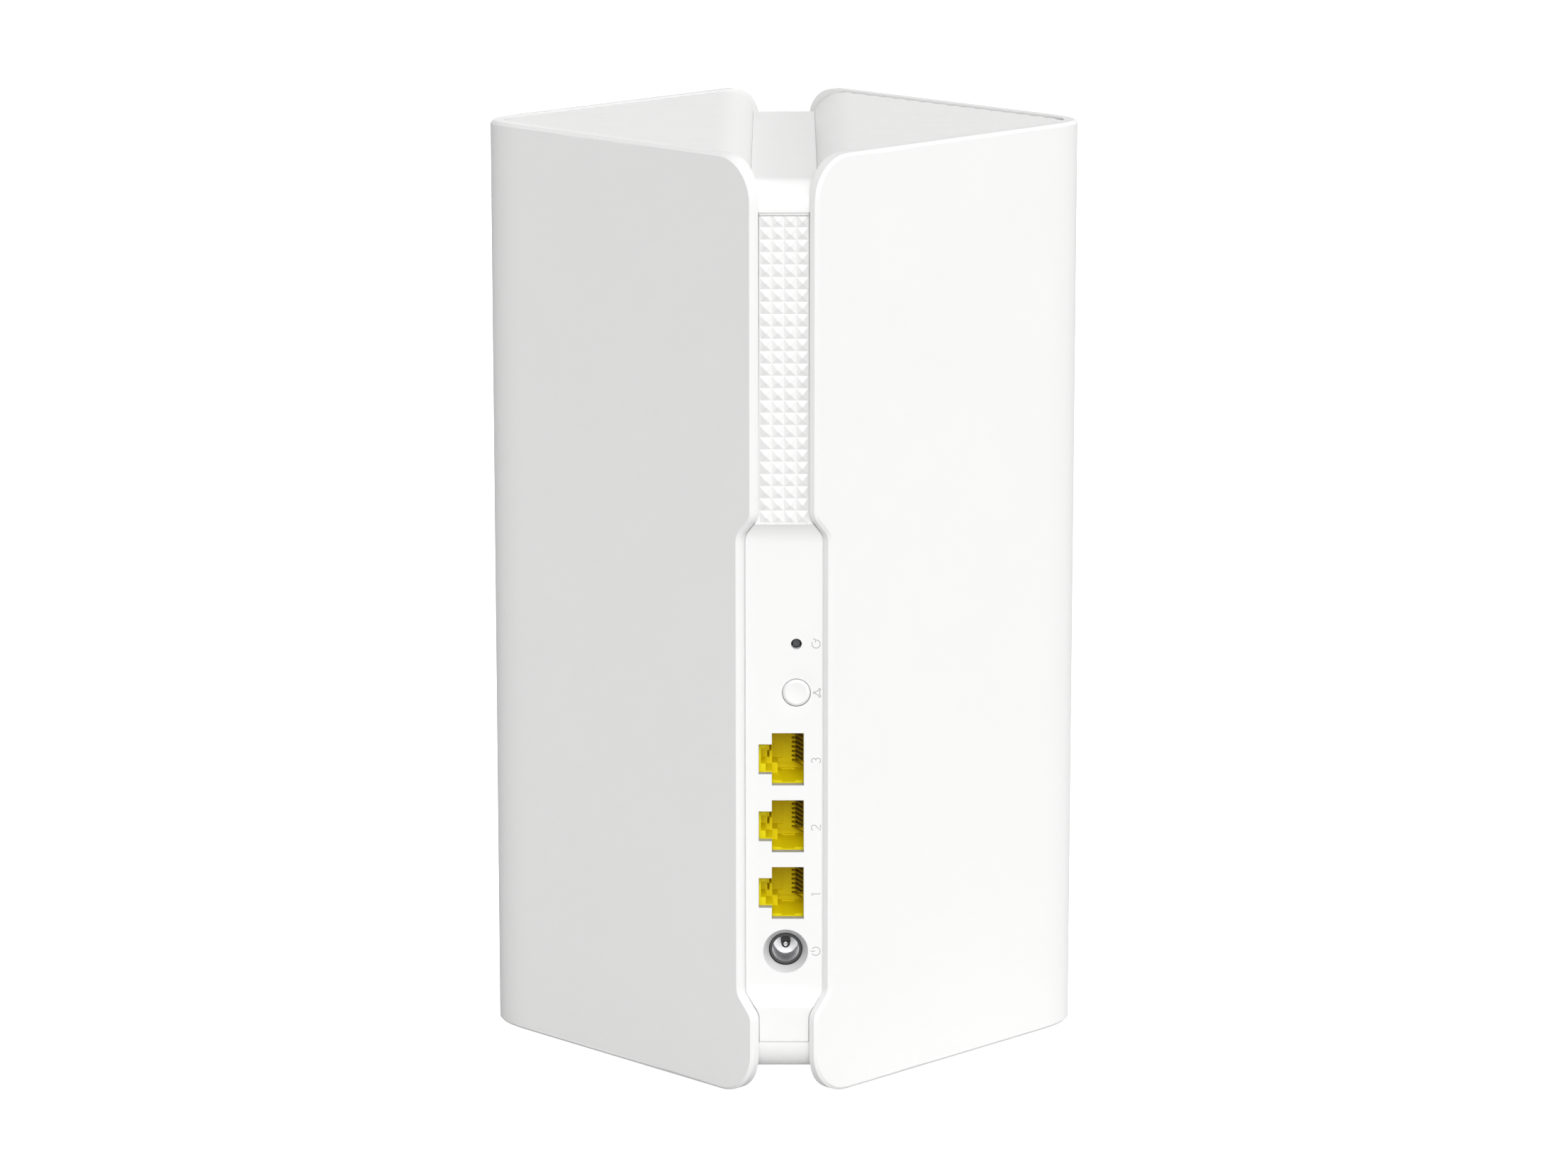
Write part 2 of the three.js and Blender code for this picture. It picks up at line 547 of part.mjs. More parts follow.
// The frame that ties the two wings together inside the spine.
function spineFrame() {
  const ring = polygon([
    [FRAME_REAR, FRAME_BOTTOM], [FRAME_FRONT, FRAME_BOTTOM],
    [FRAME_FRONT, FRAME_TOP], [FRAME_REAR, FRAME_TOP],
  ]);
  ring.holes.push(new THREE.Path([
    new THREE.Vector2(FRAME_REAR + FRAME_BAR, FRAME_BOTTOM + FRAME_BAR),
    new THREE.Vector2(FRAME_REAR + FRAME_BAR, FRAME_TOP - FRAME_BAR),
    new THREE.Vector2(FRAME_FRONT - FRAME_BAR, FRAME_TOP - FRAME_BAR),
    new THREE.Vector2(FRAME_FRONT - FRAME_BAR, FRAME_BOTTOM + FRAME_BAR),
  ]));
  return prism(ring, 'x', -FRAME_HALF_WIDTH, FRAME_HALF_WIDTH);
}

// ---------------------------------------------------------------- sockets

function lanJack(z) {
  const back = -JACK_FACE + JACK_DEPTH;
  const front = -JACK_FACE - OVERRUN;
  const half = JACK_HALF_HEIGHT;
  const housing = block(JACK_LEFT, JACK_RIGHT, -JACK_FACE, back, z - half, z + half);
  const left = LAN_MOUTH.left + JACK_INSET;
  const right = LAN_MOUTH.right - JACK_INSET;
  const bayHalf = LAN_MOUTH.halfHeight - JACK_INSET;
  const bay = block(left, right, front, -JACK_FACE + JACK_CAVITY, z - bayHalf, z + bayHalf);
  const notchLeft = LAN_NOTCH.left + JACK_INSET;
  const notchHalf = LAN_NOTCH.halfHeight - JACK_INSET;
  const notchBack = -JACK_FACE + JACK_NOTCH_CAVITY;
  const notch = block(notchLeft, left + OVERRUN, front, notchBack, z - notchHalf, z + notchHalf);
  return cutAll(housing, [bay, notch]);
}

// Eight sprung contacts on their carrier, leaning out of the back of the jack towards its right wall.
function lanContacts(z) {
  const back = -JACK_FACE + JACK_CAVITY - GAP;
  const front = back - CARRIER.depth;
  const right = LAN_MOUTH.right - JACK_INSET - GAP;
  const carrierHalf = LAN_MOUTH.halfHeight - CARRIER.shortfall;
  const carrier = block(CARRIER.left, right, front, back, z - carrierHalf, z + carrierHalf);
  const tip = -PANEL_FACE + CONTACT_DEPTH;
  const root = front + CARRIER.depth / 2;
  const blade = polygon([
    [right, tip], [right, tip + CONTACT_TIP], [CONTACT_ROOT.near, root], [CONTACT_ROOT.far, root],
  ]);
  const blades = [];
  for (let i = 0; i < CONTACT_COUNT; i += 1) {
    const middle = z + (i - (CONTACT_COUNT - 1) / 2) * CONTACT_PITCH;
    blades.push(prism(blade, 'z', middle - CONTACT_WIDTH / 2, middle + CONTACT_WIDTH / 2));
  }
  return joinAll([carrier, ...blades]);
}

function dcJackHousing() {
  const { halfWidth, halfHeight, back } = DC_HOUSING;
  const centre = [DC.x, DC.z];
  const box = block(
    DC.x - halfWidth, DC.x + halfWidth, -JACK_FACE, -back, DC.z - halfHeight, DC.z + halfHeight,
  );
  const nose = peg('y', centre, -JACK_FACE - DC_NOSE_LENGTH, -JACK_FACE + OVERRUN, DC.noseRadius);
  return cutAll(box.add(nose), [
    peg('y', centre, -JACK_FACE - OVERRUN, -DC_BORE_END, DC.boreRadius),
    peg('y', centre, -DC_BORE_END - OVERRUN, -back + OVERRUN, DC_PIN.radius + GAP),
  ]);
}

function dcSleeve() {
  const low = -JACK_FACE;
  const high = -DC_BORE_END - GAP;
  const tube = peg('y', [DC.x, DC.z], low, high, DC_SLEEVE.outer);
  return tube.subtract(peg('y', [DC.x, DC.z], low - OVERRUN, high + OVERRUN, DC_SLEEVE.inner));
}

function dcPin() {
  const back = -DC_HOUSING.back + OVERRUN;
  return peg('y', [DC.x, DC.z], -PANEL_FACE + DC_PIN.depth, back, DC_PIN.radius);
}

// ---------------------------------------------------------------- buttons and their switches

// The pressed cap: a round face in the panel's hole, held behind the panel by its flange.
function meshButton() {
  const centre = [BUTTON_X, MESH_Z];
  const back = -PANEL_FACE + SPINE_SKIN;
  const flange = back + GAP;
  const stemEnd = -SWITCH_FACE - MESH_STEM.clearance;
  return joinAll([
    peg('y', centre, -PANEL_FACE - MESH_CAP_PROUD, back + 2 * GAP, MESH_CAP_RADIUS),
    peg('y', centre, flange, flange + MESH_FLANGE.thickness, MESH_CAP_RADIUS + MESH_FLANGE.wider),
    peg('y', centre, flange + GAP, stemEnd, MESH_STEM.radius),
  ]);
}

function switchPlunger(z, face, radius) {
  return peg('y', [BUTTON_X, z], -face, -SWITCH_FACE + PLUNGER_ROOT, radius);
}

function switchBody(z, plungerRadius) {
  const half = SWITCH_HALF_WIDTH;
  const body = block(BUTTON_X - half, BUTTON_X + half, -SWITCH_FACE, -SWITCH_BACK, z - half, z + half);
  const wellEnd = -SWITCH_FACE + PLUNGER_WELL;
  return body.subtract(peg('y', [BUTTON_X, z], -SWITCH_FACE - OVERRUN, wellEnd, plungerRadius + GAP));
}

const BUTTON_BOARD = { left: -4.5, right: 5.8, low: 86, high: 109, face: 50.6, back: 49 };

function buttonBoard() {
  const { left, right, low, high, face, back } = BUTTON_BOARD;
  return block(left, right, -face, -back, low, high);
}

// ---------------------------------------------------------------- main board and what it carries

function mainBoard() {
  const { left, right, rear, front, bottom, top } = BOARD;
  const board = block(left, right, rear, front, bottom, top);
  const hole = (centre) => peg('x', centre, left - OVERRUN, right + OVERRUN, SCREW_HOLE_RADIUS);
  return cutAll(board, BOARD_SCREWS.map(hole));
}

function boardScrew(y, z) {
  const seat = BOARD.left - GAP;
  const head = peg('x', [y, z], seat - BOARD_SCREW_HEAD, seat, SCREW_HEAD_RADIUS);
  const tip = -CHANNEL_HALF_WIDTH - BOARD_SCREW_TIP;
  return head.add(peg('x', [y, z], seat - BOARD_SCREW_HEAD / 2, tip, SCREW_SHANK_RADIUS));
}

const PROCESSOR = { y: 8, z: 108, half: 9, height: 1.4 };
const PAD_THICKNESS = 0.8;
const SINK = { halfLength: 26, halfHeight: 25, plate: 2.5, fin: 12, fins: 8, finThickness: 1.2, root: 0.2 };

function processorFace() {
  return BOARD.left - GAP;
}

function processor() {
  const { y, z, half, height } = PROCESSOR;
  const face = processorFace();
  return block(face - height, face, y - half, y + half, z - half, z + half);
}

function thermalPad() {
  const { y, z, half, height } = PROCESSOR;
  const face = processorFace() - height - GAP;
  return block(face - PAD_THICKNESS, face, y - half, y + half, z - half, z + half);
}

function heatSink() {
  const face = processorFace() - PROCESSOR.height - PAD_THICKNESS - 2 * GAP;
  const { halfLength, halfHeight, plate, fin, fins, finThickness } = SINK;
  const { y, z } = PROCESSOR;
  const low = z - halfHeight;
  const high = z + halfHeight;
  const pieces = [block(face - plate, face, y - halfLength, y + halfLength, low, high)];
  const spacing = (2 * halfLength - finThickness) / (fins - 1);
  for (let i = 0; i < fins; i += 1) {
    const y0 = y - halfLength + i * spacing;
    const root = face - plate + SINK.root;
    pieces.push(block(root - fin, root, y0, y0 + finThickness, low, high));
  }
  return joinAll(pieces);
}

// A pressed tin lid over the radio parts, open towards the board.
function radioShield() {
  const face = processorFace();
  const { rear, front, bottom, top, height, sheet } = SHIELD;
  const lid = block(face - height, face, rear, front, bottom, top);
  const hollow = block(
    face - height + sheet, face + OVERRUN, rear + sheet, front - sheet, bottom + sheet, top - sheet,
  );
  return lid.subtract(hollow);
}

function lanTransformer(z) {
  const face = processorFace();
  const { height, rear, front, halfHeight } = TRANSFORMER;
  return block(face - height, face, rear, front, z - halfHeight, z + halfHeight);
}

function capacitor() {
  const { y, z, radius, height } = CAPACITOR;
  return peg('x', [y, z], processorFace() - height, processorFace(), radius);
}

function antenna(side, y) {
  const half = ANTENNA_THICKNESS / 2;
  const x0 = side * (ANTENNA_X - ANTENNA_HALF_LENGTH);
  const x1 = side * (ANTENNA_X + ANTENNA_HALF_LENGTH);
  return block(x0, x1, y - half, y + half, ANTENNA_BOTTOM, CASE_TOP - CASE_WALL - GAP);
}

// A coaxial lead along a smooth curve through its points.
function lead(points) {
  const places = points.map(([x, y, z]) => new THREE.Vector3(x, y, z));
  const path = new THREE.CatmullRomCurve3(places, false, 'centripetal');
  const section = new THREE.Shape().absarc(0, 0, LEAD_RADIUS, 0, 2 * Math.PI);
  const options = { steps: LEAD_STEPS, curveSegments: LEAD_SECTION_STEPS, extrudePath: path };
  return solid(new THREE.ExtrudeGeometry(section, options));
}

// The places that a lead passes on its way from an antenna to the main board, with y before its sign is set.
const LEFT_LEAD_ROUTE = [[-ANTENNA_X, ANTENNA_Y, 152], [-26, 13, 146], [-14.1, 11, 144]];
const RIGHT_LEAD_ROUTE = [
  [ANTENNA_X, ANTENNA_Y, 152], [24, 8, 142], [12, 2.2, LEAD_HOLE_Z], [0, 2, LEAD_HOLE_Z],
];

function antennaLead(side, way) {
  const route = side < 0 ? LEFT_LEAD_ROUTE : RIGHT_LEAD_ROUTE;
  const [, lastY, lastZ] = route.at(-1);
  const boardX = side < 0 ? BOARD.left - GAP : BOARD.right + GAP;
  const places = [[side * ANTENNA_X, ANTENNA_Y, ANTENNA_BOTTOM - GAP], ...route, [boardX, lastY, lastZ]];
  return lead(places.map(([x, y, z]) => [x, way * y, z]));
}

const LIGHT_BOARD = { rear: 53, front: 54.6, halfWidth: 4.5, halfHeight: 8 };

function lightBoard() {
  const { rear, front, halfWidth, halfHeight } = LIGHT_BOARD;
  return block(-halfWidth, halfWidth, rear, front, LIGHT_Z - halfHeight, LIGHT_Z + halfHeight);
}

function statusLed() {
  const half = LED_SIZE / 2;
  const rear = LIGHT_BOARD.front + GAP;
  return block(-half, half, rear, rear + half, LIGHT_Z - half, LIGHT_Z + half);
}

// ---------------------------------------------------------------- the assembly

const SIDES = [['left', -1], ['right', 1]];
const ENDS = [['rear', -1], ['front', 1]];

for (const [sideName, side] of SIDES) {
  add(`${sideName}_outer_cover`, 'coverWhite', outerCover(side));
  add(`${sideName}_inner_case`, 'caseWhite', innerCase(side));
  add(`${sideName}_base_plate`, 'baseGrey', basePlate(side));
  BASE_SCREW_YS.forEach((y, i) => add(`${sideName}_base_screw_${i + 1}`, 'steel', baseScrew(side, y)));
  for (const [endName, end] of ENDS) {
    add(`${sideName}_${endName}_foot`, 'rubber', foot(side, INNER_FOOT.x, end * INNER_FOOT.y));
    add(`${sideName}_${endName}_antenna`, 'boardGreen', antenna(side, end * ANTENNA_Y));
    add(`${sideName}_${endName}_antenna_lead`, 'leadGrey', antennaLead(side, end));
  }
  add(`${sideName}_outer_foot`, 'rubber', foot(side, OUTER_FOOT_X, 0));
}

add('spine_top_cap', 'spineWhite', spineCap(1));
add('spine_bottom_cap', 'spineWhite', spineCap(-1));
add('rear_panel', 'spineWhite', rearPanel());
add('front_panel', 'spineWhite', frontPanel());
add('status_light_lens', 'lens', lightLens());
add('spine_frame', 'baseGrey', spineFrame());

lanHeights().forEach((z, i) => {
  add(`lan_jack_${i + 1}`, 'jackYellow', lanJack(z));
  add(`lan_contacts_${i + 1}`, 'gold', lanContacts(z));
  add(`lan_transformer_${i + 1}`, 'blackPlastic', lanTransformer(z));
});
add('dc_jack_housing', 'blackPlastic', dcJackHousing());
add('dc_jack_sleeve', 'chrome', dcSleeve());
add('dc_jack_pin', 'chrome', dcPin());

add('mesh_button', 'spineWhite', meshButton());
const meshPlungerFace = SWITCH_FACE + MESH_PLUNGER.proud;
const resetPlungerFace = PANEL_FACE - RESET_PLUNGER.setback;
add('mesh_switch_plunger', 'blackPlastic', switchPlunger(MESH_Z, meshPlungerFace, MESH_PLUNGER.radius));
add('mesh_switch_body', 'steel', switchBody(MESH_Z, MESH_PLUNGER.radius));
add('reset_switch_plunger', 'leadGrey', switchPlunger(RESET_Z, resetPlungerFace, RESET_PLUNGER.radius));
add('reset_switch_body', 'steel', switchBody(RESET_Z, RESET_PLUNGER.radius));
add('button_board', 'boardGreen', buttonBoard());

add('main_board', 'boardGreen', mainBoard());
BOARD_SCREWS.forEach(([y, z], i) => add(`board_screw_${i + 1}`, 'steel', boardScrew(y, z)));
add('processor', 'blackPlastic', processor());
add('thermal_pad', 'padBlue', thermalPad());
add('heat_sink', 'aluminium', heatSink());
add('radio_shield', 'steel', radioShield());
add('power_capacitor', 'aluminium', capacitor());
add('light_board', 'boardGreen', lightBoard());
add('status_led', 'lens', statusLed());

export default router;
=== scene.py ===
"""The finished looks of a tall two-winged mesh router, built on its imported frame.

Sizes below are in millimetres and are turned into metres as each mesh is made. +Z is up, the sockets face -Y
and the two wings lie to -X and +X.
"""
import json
import math

import bmesh
import bpy
from mathutils import Matrix, Vector
from mathutils.geometry import delaunay_2d_cdt


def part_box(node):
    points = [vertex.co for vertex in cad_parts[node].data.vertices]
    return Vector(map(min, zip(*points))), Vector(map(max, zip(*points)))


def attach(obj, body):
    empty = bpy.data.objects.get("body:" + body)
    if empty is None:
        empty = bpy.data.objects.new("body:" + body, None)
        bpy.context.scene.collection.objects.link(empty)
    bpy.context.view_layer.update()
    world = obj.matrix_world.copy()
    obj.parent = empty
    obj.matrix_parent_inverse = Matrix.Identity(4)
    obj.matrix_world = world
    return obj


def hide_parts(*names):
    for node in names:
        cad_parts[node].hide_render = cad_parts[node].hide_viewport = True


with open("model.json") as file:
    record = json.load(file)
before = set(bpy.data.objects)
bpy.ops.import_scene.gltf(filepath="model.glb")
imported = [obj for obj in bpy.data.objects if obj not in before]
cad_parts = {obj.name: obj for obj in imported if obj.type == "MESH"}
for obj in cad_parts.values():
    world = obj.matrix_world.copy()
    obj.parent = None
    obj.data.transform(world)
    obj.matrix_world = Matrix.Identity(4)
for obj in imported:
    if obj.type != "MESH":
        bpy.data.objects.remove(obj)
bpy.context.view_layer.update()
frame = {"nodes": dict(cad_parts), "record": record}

MM = 0.001
ROOT2 = math.sqrt(2)
HOUSING = "housing"
SIDES = {"left": -1, "right": 1}


def ease(value):
    """Runs softly from 0 to 1 as value does, and stays level beyond either end."""
    share = min(max(value, 0), 1)
    return share * share * (3 - 2 * share)


def millimetres(node):
    """The lowest and highest corners of a CAD node, in millimetres."""
    low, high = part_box(node)
    return low / MM, high / MM


# ---- sizes taken from the frame
COVER_LOW, COVER_HIGH = (corner.z for corner in millimetres("right_outer_cover"))
CASE_LOW, CASE_HIGH = (corner.z for corner in millimetres("right_inner_case"))
CHANNEL_HALF = millimetres("right_inner_case")[0].x
CAP_LOW, CAP_HIGH = millimetres("spine_top_cap")
FOOT_CAP_LOW, FOOT_CAP_HIGH = millimetres("spine_bottom_cap")
PANEL_LOW, PANEL_HIGH = millimetres("rear_panel")
STRIP_FACE = -PANEL_LOW.y
JACK_FACE = millimetres("lan_jack_1")[0].y
PIN_TIP = millimetres("dc_jack_pin")[0].y
GAP = 0.3

# ---- covers
HALF_DIAGONAL = 70          # |x| + |y| on the flat outer faces
CORNER_TANGENT = 15.5
CORNER_FULLNESS = 0.8
COVER_CHAMFER = 0.65
COVER_WALL = 2.1
COVER_LIP = 3.1
LIP_BLEND = 9.0             # height over which the thick rim thins to the wall
EDGE_NARROW = 7.0
EDGE_WIDE = 10.05
SHOULDER = 10
DIAGONAL_ROUND = 3.4
WIDE_TOP, NARROW_ABOVE = 127.0, 131.6
WIDE_BOTTOM, NARROW_BELOW = 24.4, 19.9

# ---- cases
CASE_INSET = COVER_LIP + GAP
CASE_WALL = 1.8
CASE_SHOULDER = 8.5
CASE_FLANGE = 17
RIB_PITCH = 3.05
RIB_HEIGHT = 0.2
RIB_SAMPLES = 10
RIB_FADE_START, RIB_FADE = 0.15, 0.45   # lean of the surface, in radians, over which the ribs rise
WINDOW_FRONT, WINDOW_LOW, WINDOW_HIGH = -36, 17, 134.5

# ---- spine
SPINE_FILLET = 6.5
SPINE_SKIN = 2.0
CAP_GAP = 0.03              # between a cap and the channel's walls
PANEL_FACE = 58.8
STRIP_HALF = 5.36
SEAM = 0.2                  # between the socket panel and the covers' inner corners
SLOPE_TOP = 129.95          # lower end of the patterned strip
SLOPE_BOTTOM = 21.6
SLOPE_ROUND = 6.5
PATTERN_COLUMNS = 4
PATTERN_ROWS = 25
PATTERN_HALF = 5.28
PATTERN_HEIGHT = 1.0
PATTERN_SINK = 0.7
PATTERN_LEDGE = 0.2         # from the lower end of the strip up to the pyramids
PATTERN_EAVE = 0.25         # from the pyramids up to the seam
PATTERN_LOW_RAMP, PATTERN_HIGH_RAMP = 0.18, 0.06

# ---- sockets and buttons
LAN_HEIGHTS = (47.0, 62.1, 77.2)
LAN_LEFT, LAN_RIGHT, LAN_HALF = -2.7, 4.37, 5.9
NOTCH_LEFT, NOTCH_HALF = -5.57, 3.39
JACK_HALF = 7.4
DC_X, DC_Z, DC_MOUTH, DC_THROAT = 0.36, 33.75, 5.0, 3.75
BUTTON_X, MESH_Z, RESET_Z = 2.7, 92.1, 103.0
MESH_HOLE, RESET_HOLE = 3.15, 1.2
DISH_DEPTH, DISH_WIDTH, DISH_RINGS = 0.14, 2.3, 5
LIGHT_Z, LIGHT_HOLE = 32.0, 2.15
FRONT_FOOT_TOP = 46.0       # the front strip's pyramids end here, above its plain foot

# ---- inside a socket: x is across, z is from its middle and depth is from the jack's face
BAY_INSET = 0.1             # from the side of the panel's mouth to the side of the jack's bay
BAY_LOW, BAY_HIGH, BAY_DEPTH, BACK_DEPTH = -5.3, 5.8, 11.5, 12.0
LEDGE_RIGHT, LEDGE_TOP, LEDGE_DEPTH = -1.4, -3.0, 7.0
INSERT_LEFT, INSERT_HALF = -0.26, 4.1
LATCH_POCKET, LATCH_THROAT = (NOTCH_LEFT + 0.5, -3.95, -1.6, 2.0), (-4.0, LAN_LEFT + 0.2, -3.15, 3.29)
LATCH_SLOTS = ((-3.25, LAN_LEFT - 0.05, -0.3, 1.4), (-3.7, -3.2, -1.8, -0.2))
LATCH_SLOT_DEPTHS = (6.5, 11.0)
CONTACT_COUNT = 8
CONTACT_PITCH = 1.02
COMB_LEFT, COMB_POCKET_LEFT, COMB_SLOT_HALF, COMB_DEPTH = 1.7, 2.55, 0.25, 14.5
CUT_LAP = 0.1               # by which neighbouring cuts lap over each other

# ---- power inlet and printed marks
INLET_FACE, INLET_END = -56.9, -50.4
PRINT_X = 6.98


# ---- materials

def feed(tree, node, inputs):
    """Gives a shader node's named inputs their values, or links another node's output to them."""
    for name, value in inputs.items():
        if isinstance(value, bpy.types.NodeSocket):
            tree.links.new(value, node.inputs[name])
        else:
            node.inputs[name].default_value = value


def new_material(name, colour, roughness, metallic=0.0, ior=1.46, coat=0.0):
    material = bpy.data.materials.new(name)
    material.use_nodes = True
    tree = material.node_tree
    shader = tree.nodes["Principled BSDF"]
    feed(tree, shader, {"Base Color": (*colour, 1), "Roughness": roughness, "Metallic": metallic,
                        "IOR": ior, "Coat Weight": coat})
    return material, tree, shader


def coordinates(tree, stretch=(1, 1, 1)):
    place = tree.nodes.new("ShaderNodeTexCoord")
    mapping = tree.nodes.new("ShaderNodeMapping")
    feed(tree, mapping, {"Scale": stretch, "Vector": place.outputs["Object"]})
    return mapping.outputs["Vector"]


def noise(tree, vector, size, detail=2.0):
    """Noise whose blotches are about size millimetres across."""
    node = tree.nodes.new("ShaderNodeTexNoise")
    feed(tree, node, {"Scale": 1 / (size * MM), "Detail": detail, "Vector": vector})
    return node.outputs["Fac"]


def spread(tree, value, low, high):
    """Noise stretched from its usual middle range, 0.3 to 0.7, to run from low to high."""
    node = tree.nodes.new("ShaderNodeMapRange")
    feed(tree, node, {"From Min": 0.3, "From Max": 0.7, "To Min": low, "To Max": high, "Value": value})
    return node.outputs["Result"]


def tint(tree, value, dark, light):
    node = tree.nodes.new("ShaderNodeMix")
    node.data_type = "RGBA"
    feed(tree, node, {"A": (*dark, 1), "B": (*light, 1), "Factor": spread(tree, value, 0, 1)})
    return node.outputs["Result"]


def bump(tree, shader, height, depth, strength=1.0):
    """Relief depth millimetres deep on the shader's normal."""
    node = tree.nodes.new("ShaderNodeBump")
    feed(tree, node, {"Strength": strength, "Distance": depth * MM, "Height": height})
    feed(tree, shader, {"Normal": node.outputs["Normal"]})


def textured(name, colour, roughness, grain, relief, shade=0.97, wander=0.05, stretch=(1, 1, 1), **extra):
    """A surface with fine grain, slightly uneven gloss and a slow drift of colour."""
    material, tree, shader = new_material(name, colour, roughness, **extra)
    vector = coordinates(tree, stretch)
    dark = tuple(channel * shade for channel in colour)
    feed(tree, shader, {"Base Color": tint(tree, noise(tree, vector, 60 * grain), dark, colour)})
    gloss = spread(tree, noise(tree, vector, 14 * grain), roughness - wander, roughness + wander)
    feed(tree, shader, {"Roughness": gloss})
    bump(tree, shader, noise(tree, vector, grain, 3.0), relief)
    return material


def painted_glow(material, colour, strength):
    """Painted light: an even glow set on a moulding, which brightens its shaded hollows."""
    tree = material.node_tree
    shader = tree.nodes["Principled BSDF"]
    feed(tree, shader, {"Emission Color": (*colour, 1), "Emission Strength": strength})


def circuit_board():
    """Solder mask with faint tracks and plated pads."""
    green = (0.012, 0.085, 0.042)
    material, tree, shader = new_material("circuit_board", green, 0.35, coat=0.3)
    tracks = tree.nodes.new("ShaderNodeTexBrick")
    feed(tree, tracks, {"Vector": coordinates(tree), "Scale": 260, "Mortar Size": 0.04,
                        "Color1": (*green, 1), "Color2": (0.014, 0.1, 0.05, 1),
                        "Mortar": (0.03, 0.17, 0.08, 1)})
    feed(tree, shader, {"Base Color": tracks.outputs["Color"]})
    bump(tree, shader, tracks.outputs["Fac"], 0.03, 0.5)
    return material


WHITE = (0.86, 0.86, 0.855)
CASE_WHITE = (0.83, 0.83, 0.825)
MATERIALS = {
    "cover_white": textured("satin_white_cover", WHITE, 0.42, 0.28, 0.012, shade=0.992, wander=0.03),
    "case_white": textured("matt_white_case", CASE_WHITE, 0.5, 0.25, 0.014, shade=0.99, wander=0.04),
    "spine_white": textured("satin_white_spine", WHITE, 0.38, 0.22, 0.010, shade=0.992, wander=0.03),
    "base_grey": textured("matt_grey_base", (0.62, 0.63, 0.64), 0.6, 0.4, 0.03),
    "foot_rubber": textured("grey_rubber", (0.2, 0.205, 0.21), 0.85, 0.5, 0.06, shade=0.85),
    "jack_yellow": textured("yellow_nylon", (0.86, 0.735, 0.001), 0.5, 0.3, 0.012, shade=0.93, ior=1.33),
    "contact_gold": textured("gilded_wire", (0.5, 0.42, 0.14), 0.35, 0.5, 0.004, shade=0.8, metallic=1.0),
    "black_plastic": textured("black_moulding", (0.062, 0.062, 0.064), 0.5, 0.3, 0.02, shade=0.8),
    "chrome": textured("bright_nickel", (0.82, 0.82, 0.83), 0.14, 0.6, 0.003, shade=0.92, metallic=1.0),
    "steel": textured("plated_steel", (0.5, 0.51, 0.52), 0.35, 0.4, 0.006, stretch=(1, 1, 8), metallic=1.0),
    "board_green": circuit_board(),
    "aluminium": textured("drawn_aluminium", (0.6, 0.61, 0.62), 0.38, 0.3, 0.01,
                          stretch=(1, 1, 0.1), metallic=1.0),
    "pad_blue": textured("silicone_pad", (0.2, 0.28, 0.45), 0.75, 0.6, 0.05),
    "lens_clear": textured("frosted_lens", (0.78, 0.84, 0.88), 0.25, 0.3, 0.01, ior=1.58),
    "lead_grey": textured("grey_jacket", (0.08, 0.083, 0.09), 0.45, 0.5, 0.02),
}
# the yellow jacks glow faintly: painted light that lifts the shade inside their bays
painted_glow(MATERIALS["jack_yellow"], (1.0, 0.72, 0.0), 0.025)
SLEEVE = textured("brushed_sleeve", (0.88, 0.88, 0.89), 0.42, 0.4, 0.004, shade=0.95, metallic=1.0)
PRINT = textured("grey_print", (0.42, 0.42, 0.43), 0.5, 0.15, 0.004)
# the grey of the socket liners is painted shade on the mouths' sills and walls
SILL_SHADE = textured("painted_sill_shade", (0.45, 0.45, 0.42), 0.7, 0.3, 0.01, shade=0.95)
# the carrier's dark olive is partly its own colour and partly painted shade at the back of the socket pocket
CARRIER_AND_SHADE = textured("olive_carrier_and_painted_shade", (0.17, 0.135, 0.012), 0.6, 0.3, 0.01, shade=0.9)
# the grey of the inlet's funnel lining is painted shade on the white cone
FUNNEL_SHADE = textured("funnel_painted_shade", (0.75, 0.75, 0.75), 0.4, 0.3, 0.006, shade=0.98)


# ---- making pieces

def add_object(name, data):
    """Puts a mesh, a light or a camera into the scene."""
    added = bpy.data.objects.new(name, data)
    bpy.context.scene.collection.objects.link(added)
    return added


def new_object(name, points, faces):
    mesh = bpy.data.meshes.new(name)
    mesh.from_pydata([Vector(point) * MM for point in points], [], faces)
    body = bmesh.new()
    body.from_mesh(mesh)
    bmesh.ops.remove_doubles(body, verts=body.verts, dist=0.0005 * MM)
    bmesh.ops.recalc_face_normals(body, faces=body.faces)
    body.to_mesh(mesh)
    body.free()
    return add_object(name, mesh)


def settle(piece, slot, body=HOUSING, replaces=(), crease=None, material=None):
    """Gives a piece its finish, smooth shading between sharp edges, its body and the nodes it stands for.

    crease is the least angle of a sharp edge, in degrees. Without it the whole piece is shaded smoothly."""
    piece.data.materials.clear()
    piece.data.materials.append(material or MATERIALS[slot])
    for face in piece.data.polygons:
        face.use_smooth = True
    if crease is not None:
        piece.data.set_sharp_from_angle(angle=math.radians(crease))
    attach(piece, body)
    if replaces:
        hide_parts(*replaces)


def apply_modifiers(piece):
    bpy.context.view_layer.update()
    graph = bpy.context.evaluated_depsgraph_get()
    mesh = bpy.data.meshes.new_from_object(piece.evaluated_get(graph))
    piece.modifiers.clear()
    piece.data = mesh


def soften(piece, width, angle=32):
    """Rounds a piece's edges that are sharper than angle by width millimetres."""
    bevel = piece.modifiers.new("soft_edges", "BEVEL")
    bevel.width = width * MM
    bevel.segments = 2
    bevel.limit_method = "ANGLE"
    bevel.angle_limit = math.radians(angle)
    bevel.harden_normals = True
    bevel.use_clamp_overlap = True


def quarter_turn(way):
    """A direction turned a quarter to the left."""
    return Vector((-way.y, way.x))


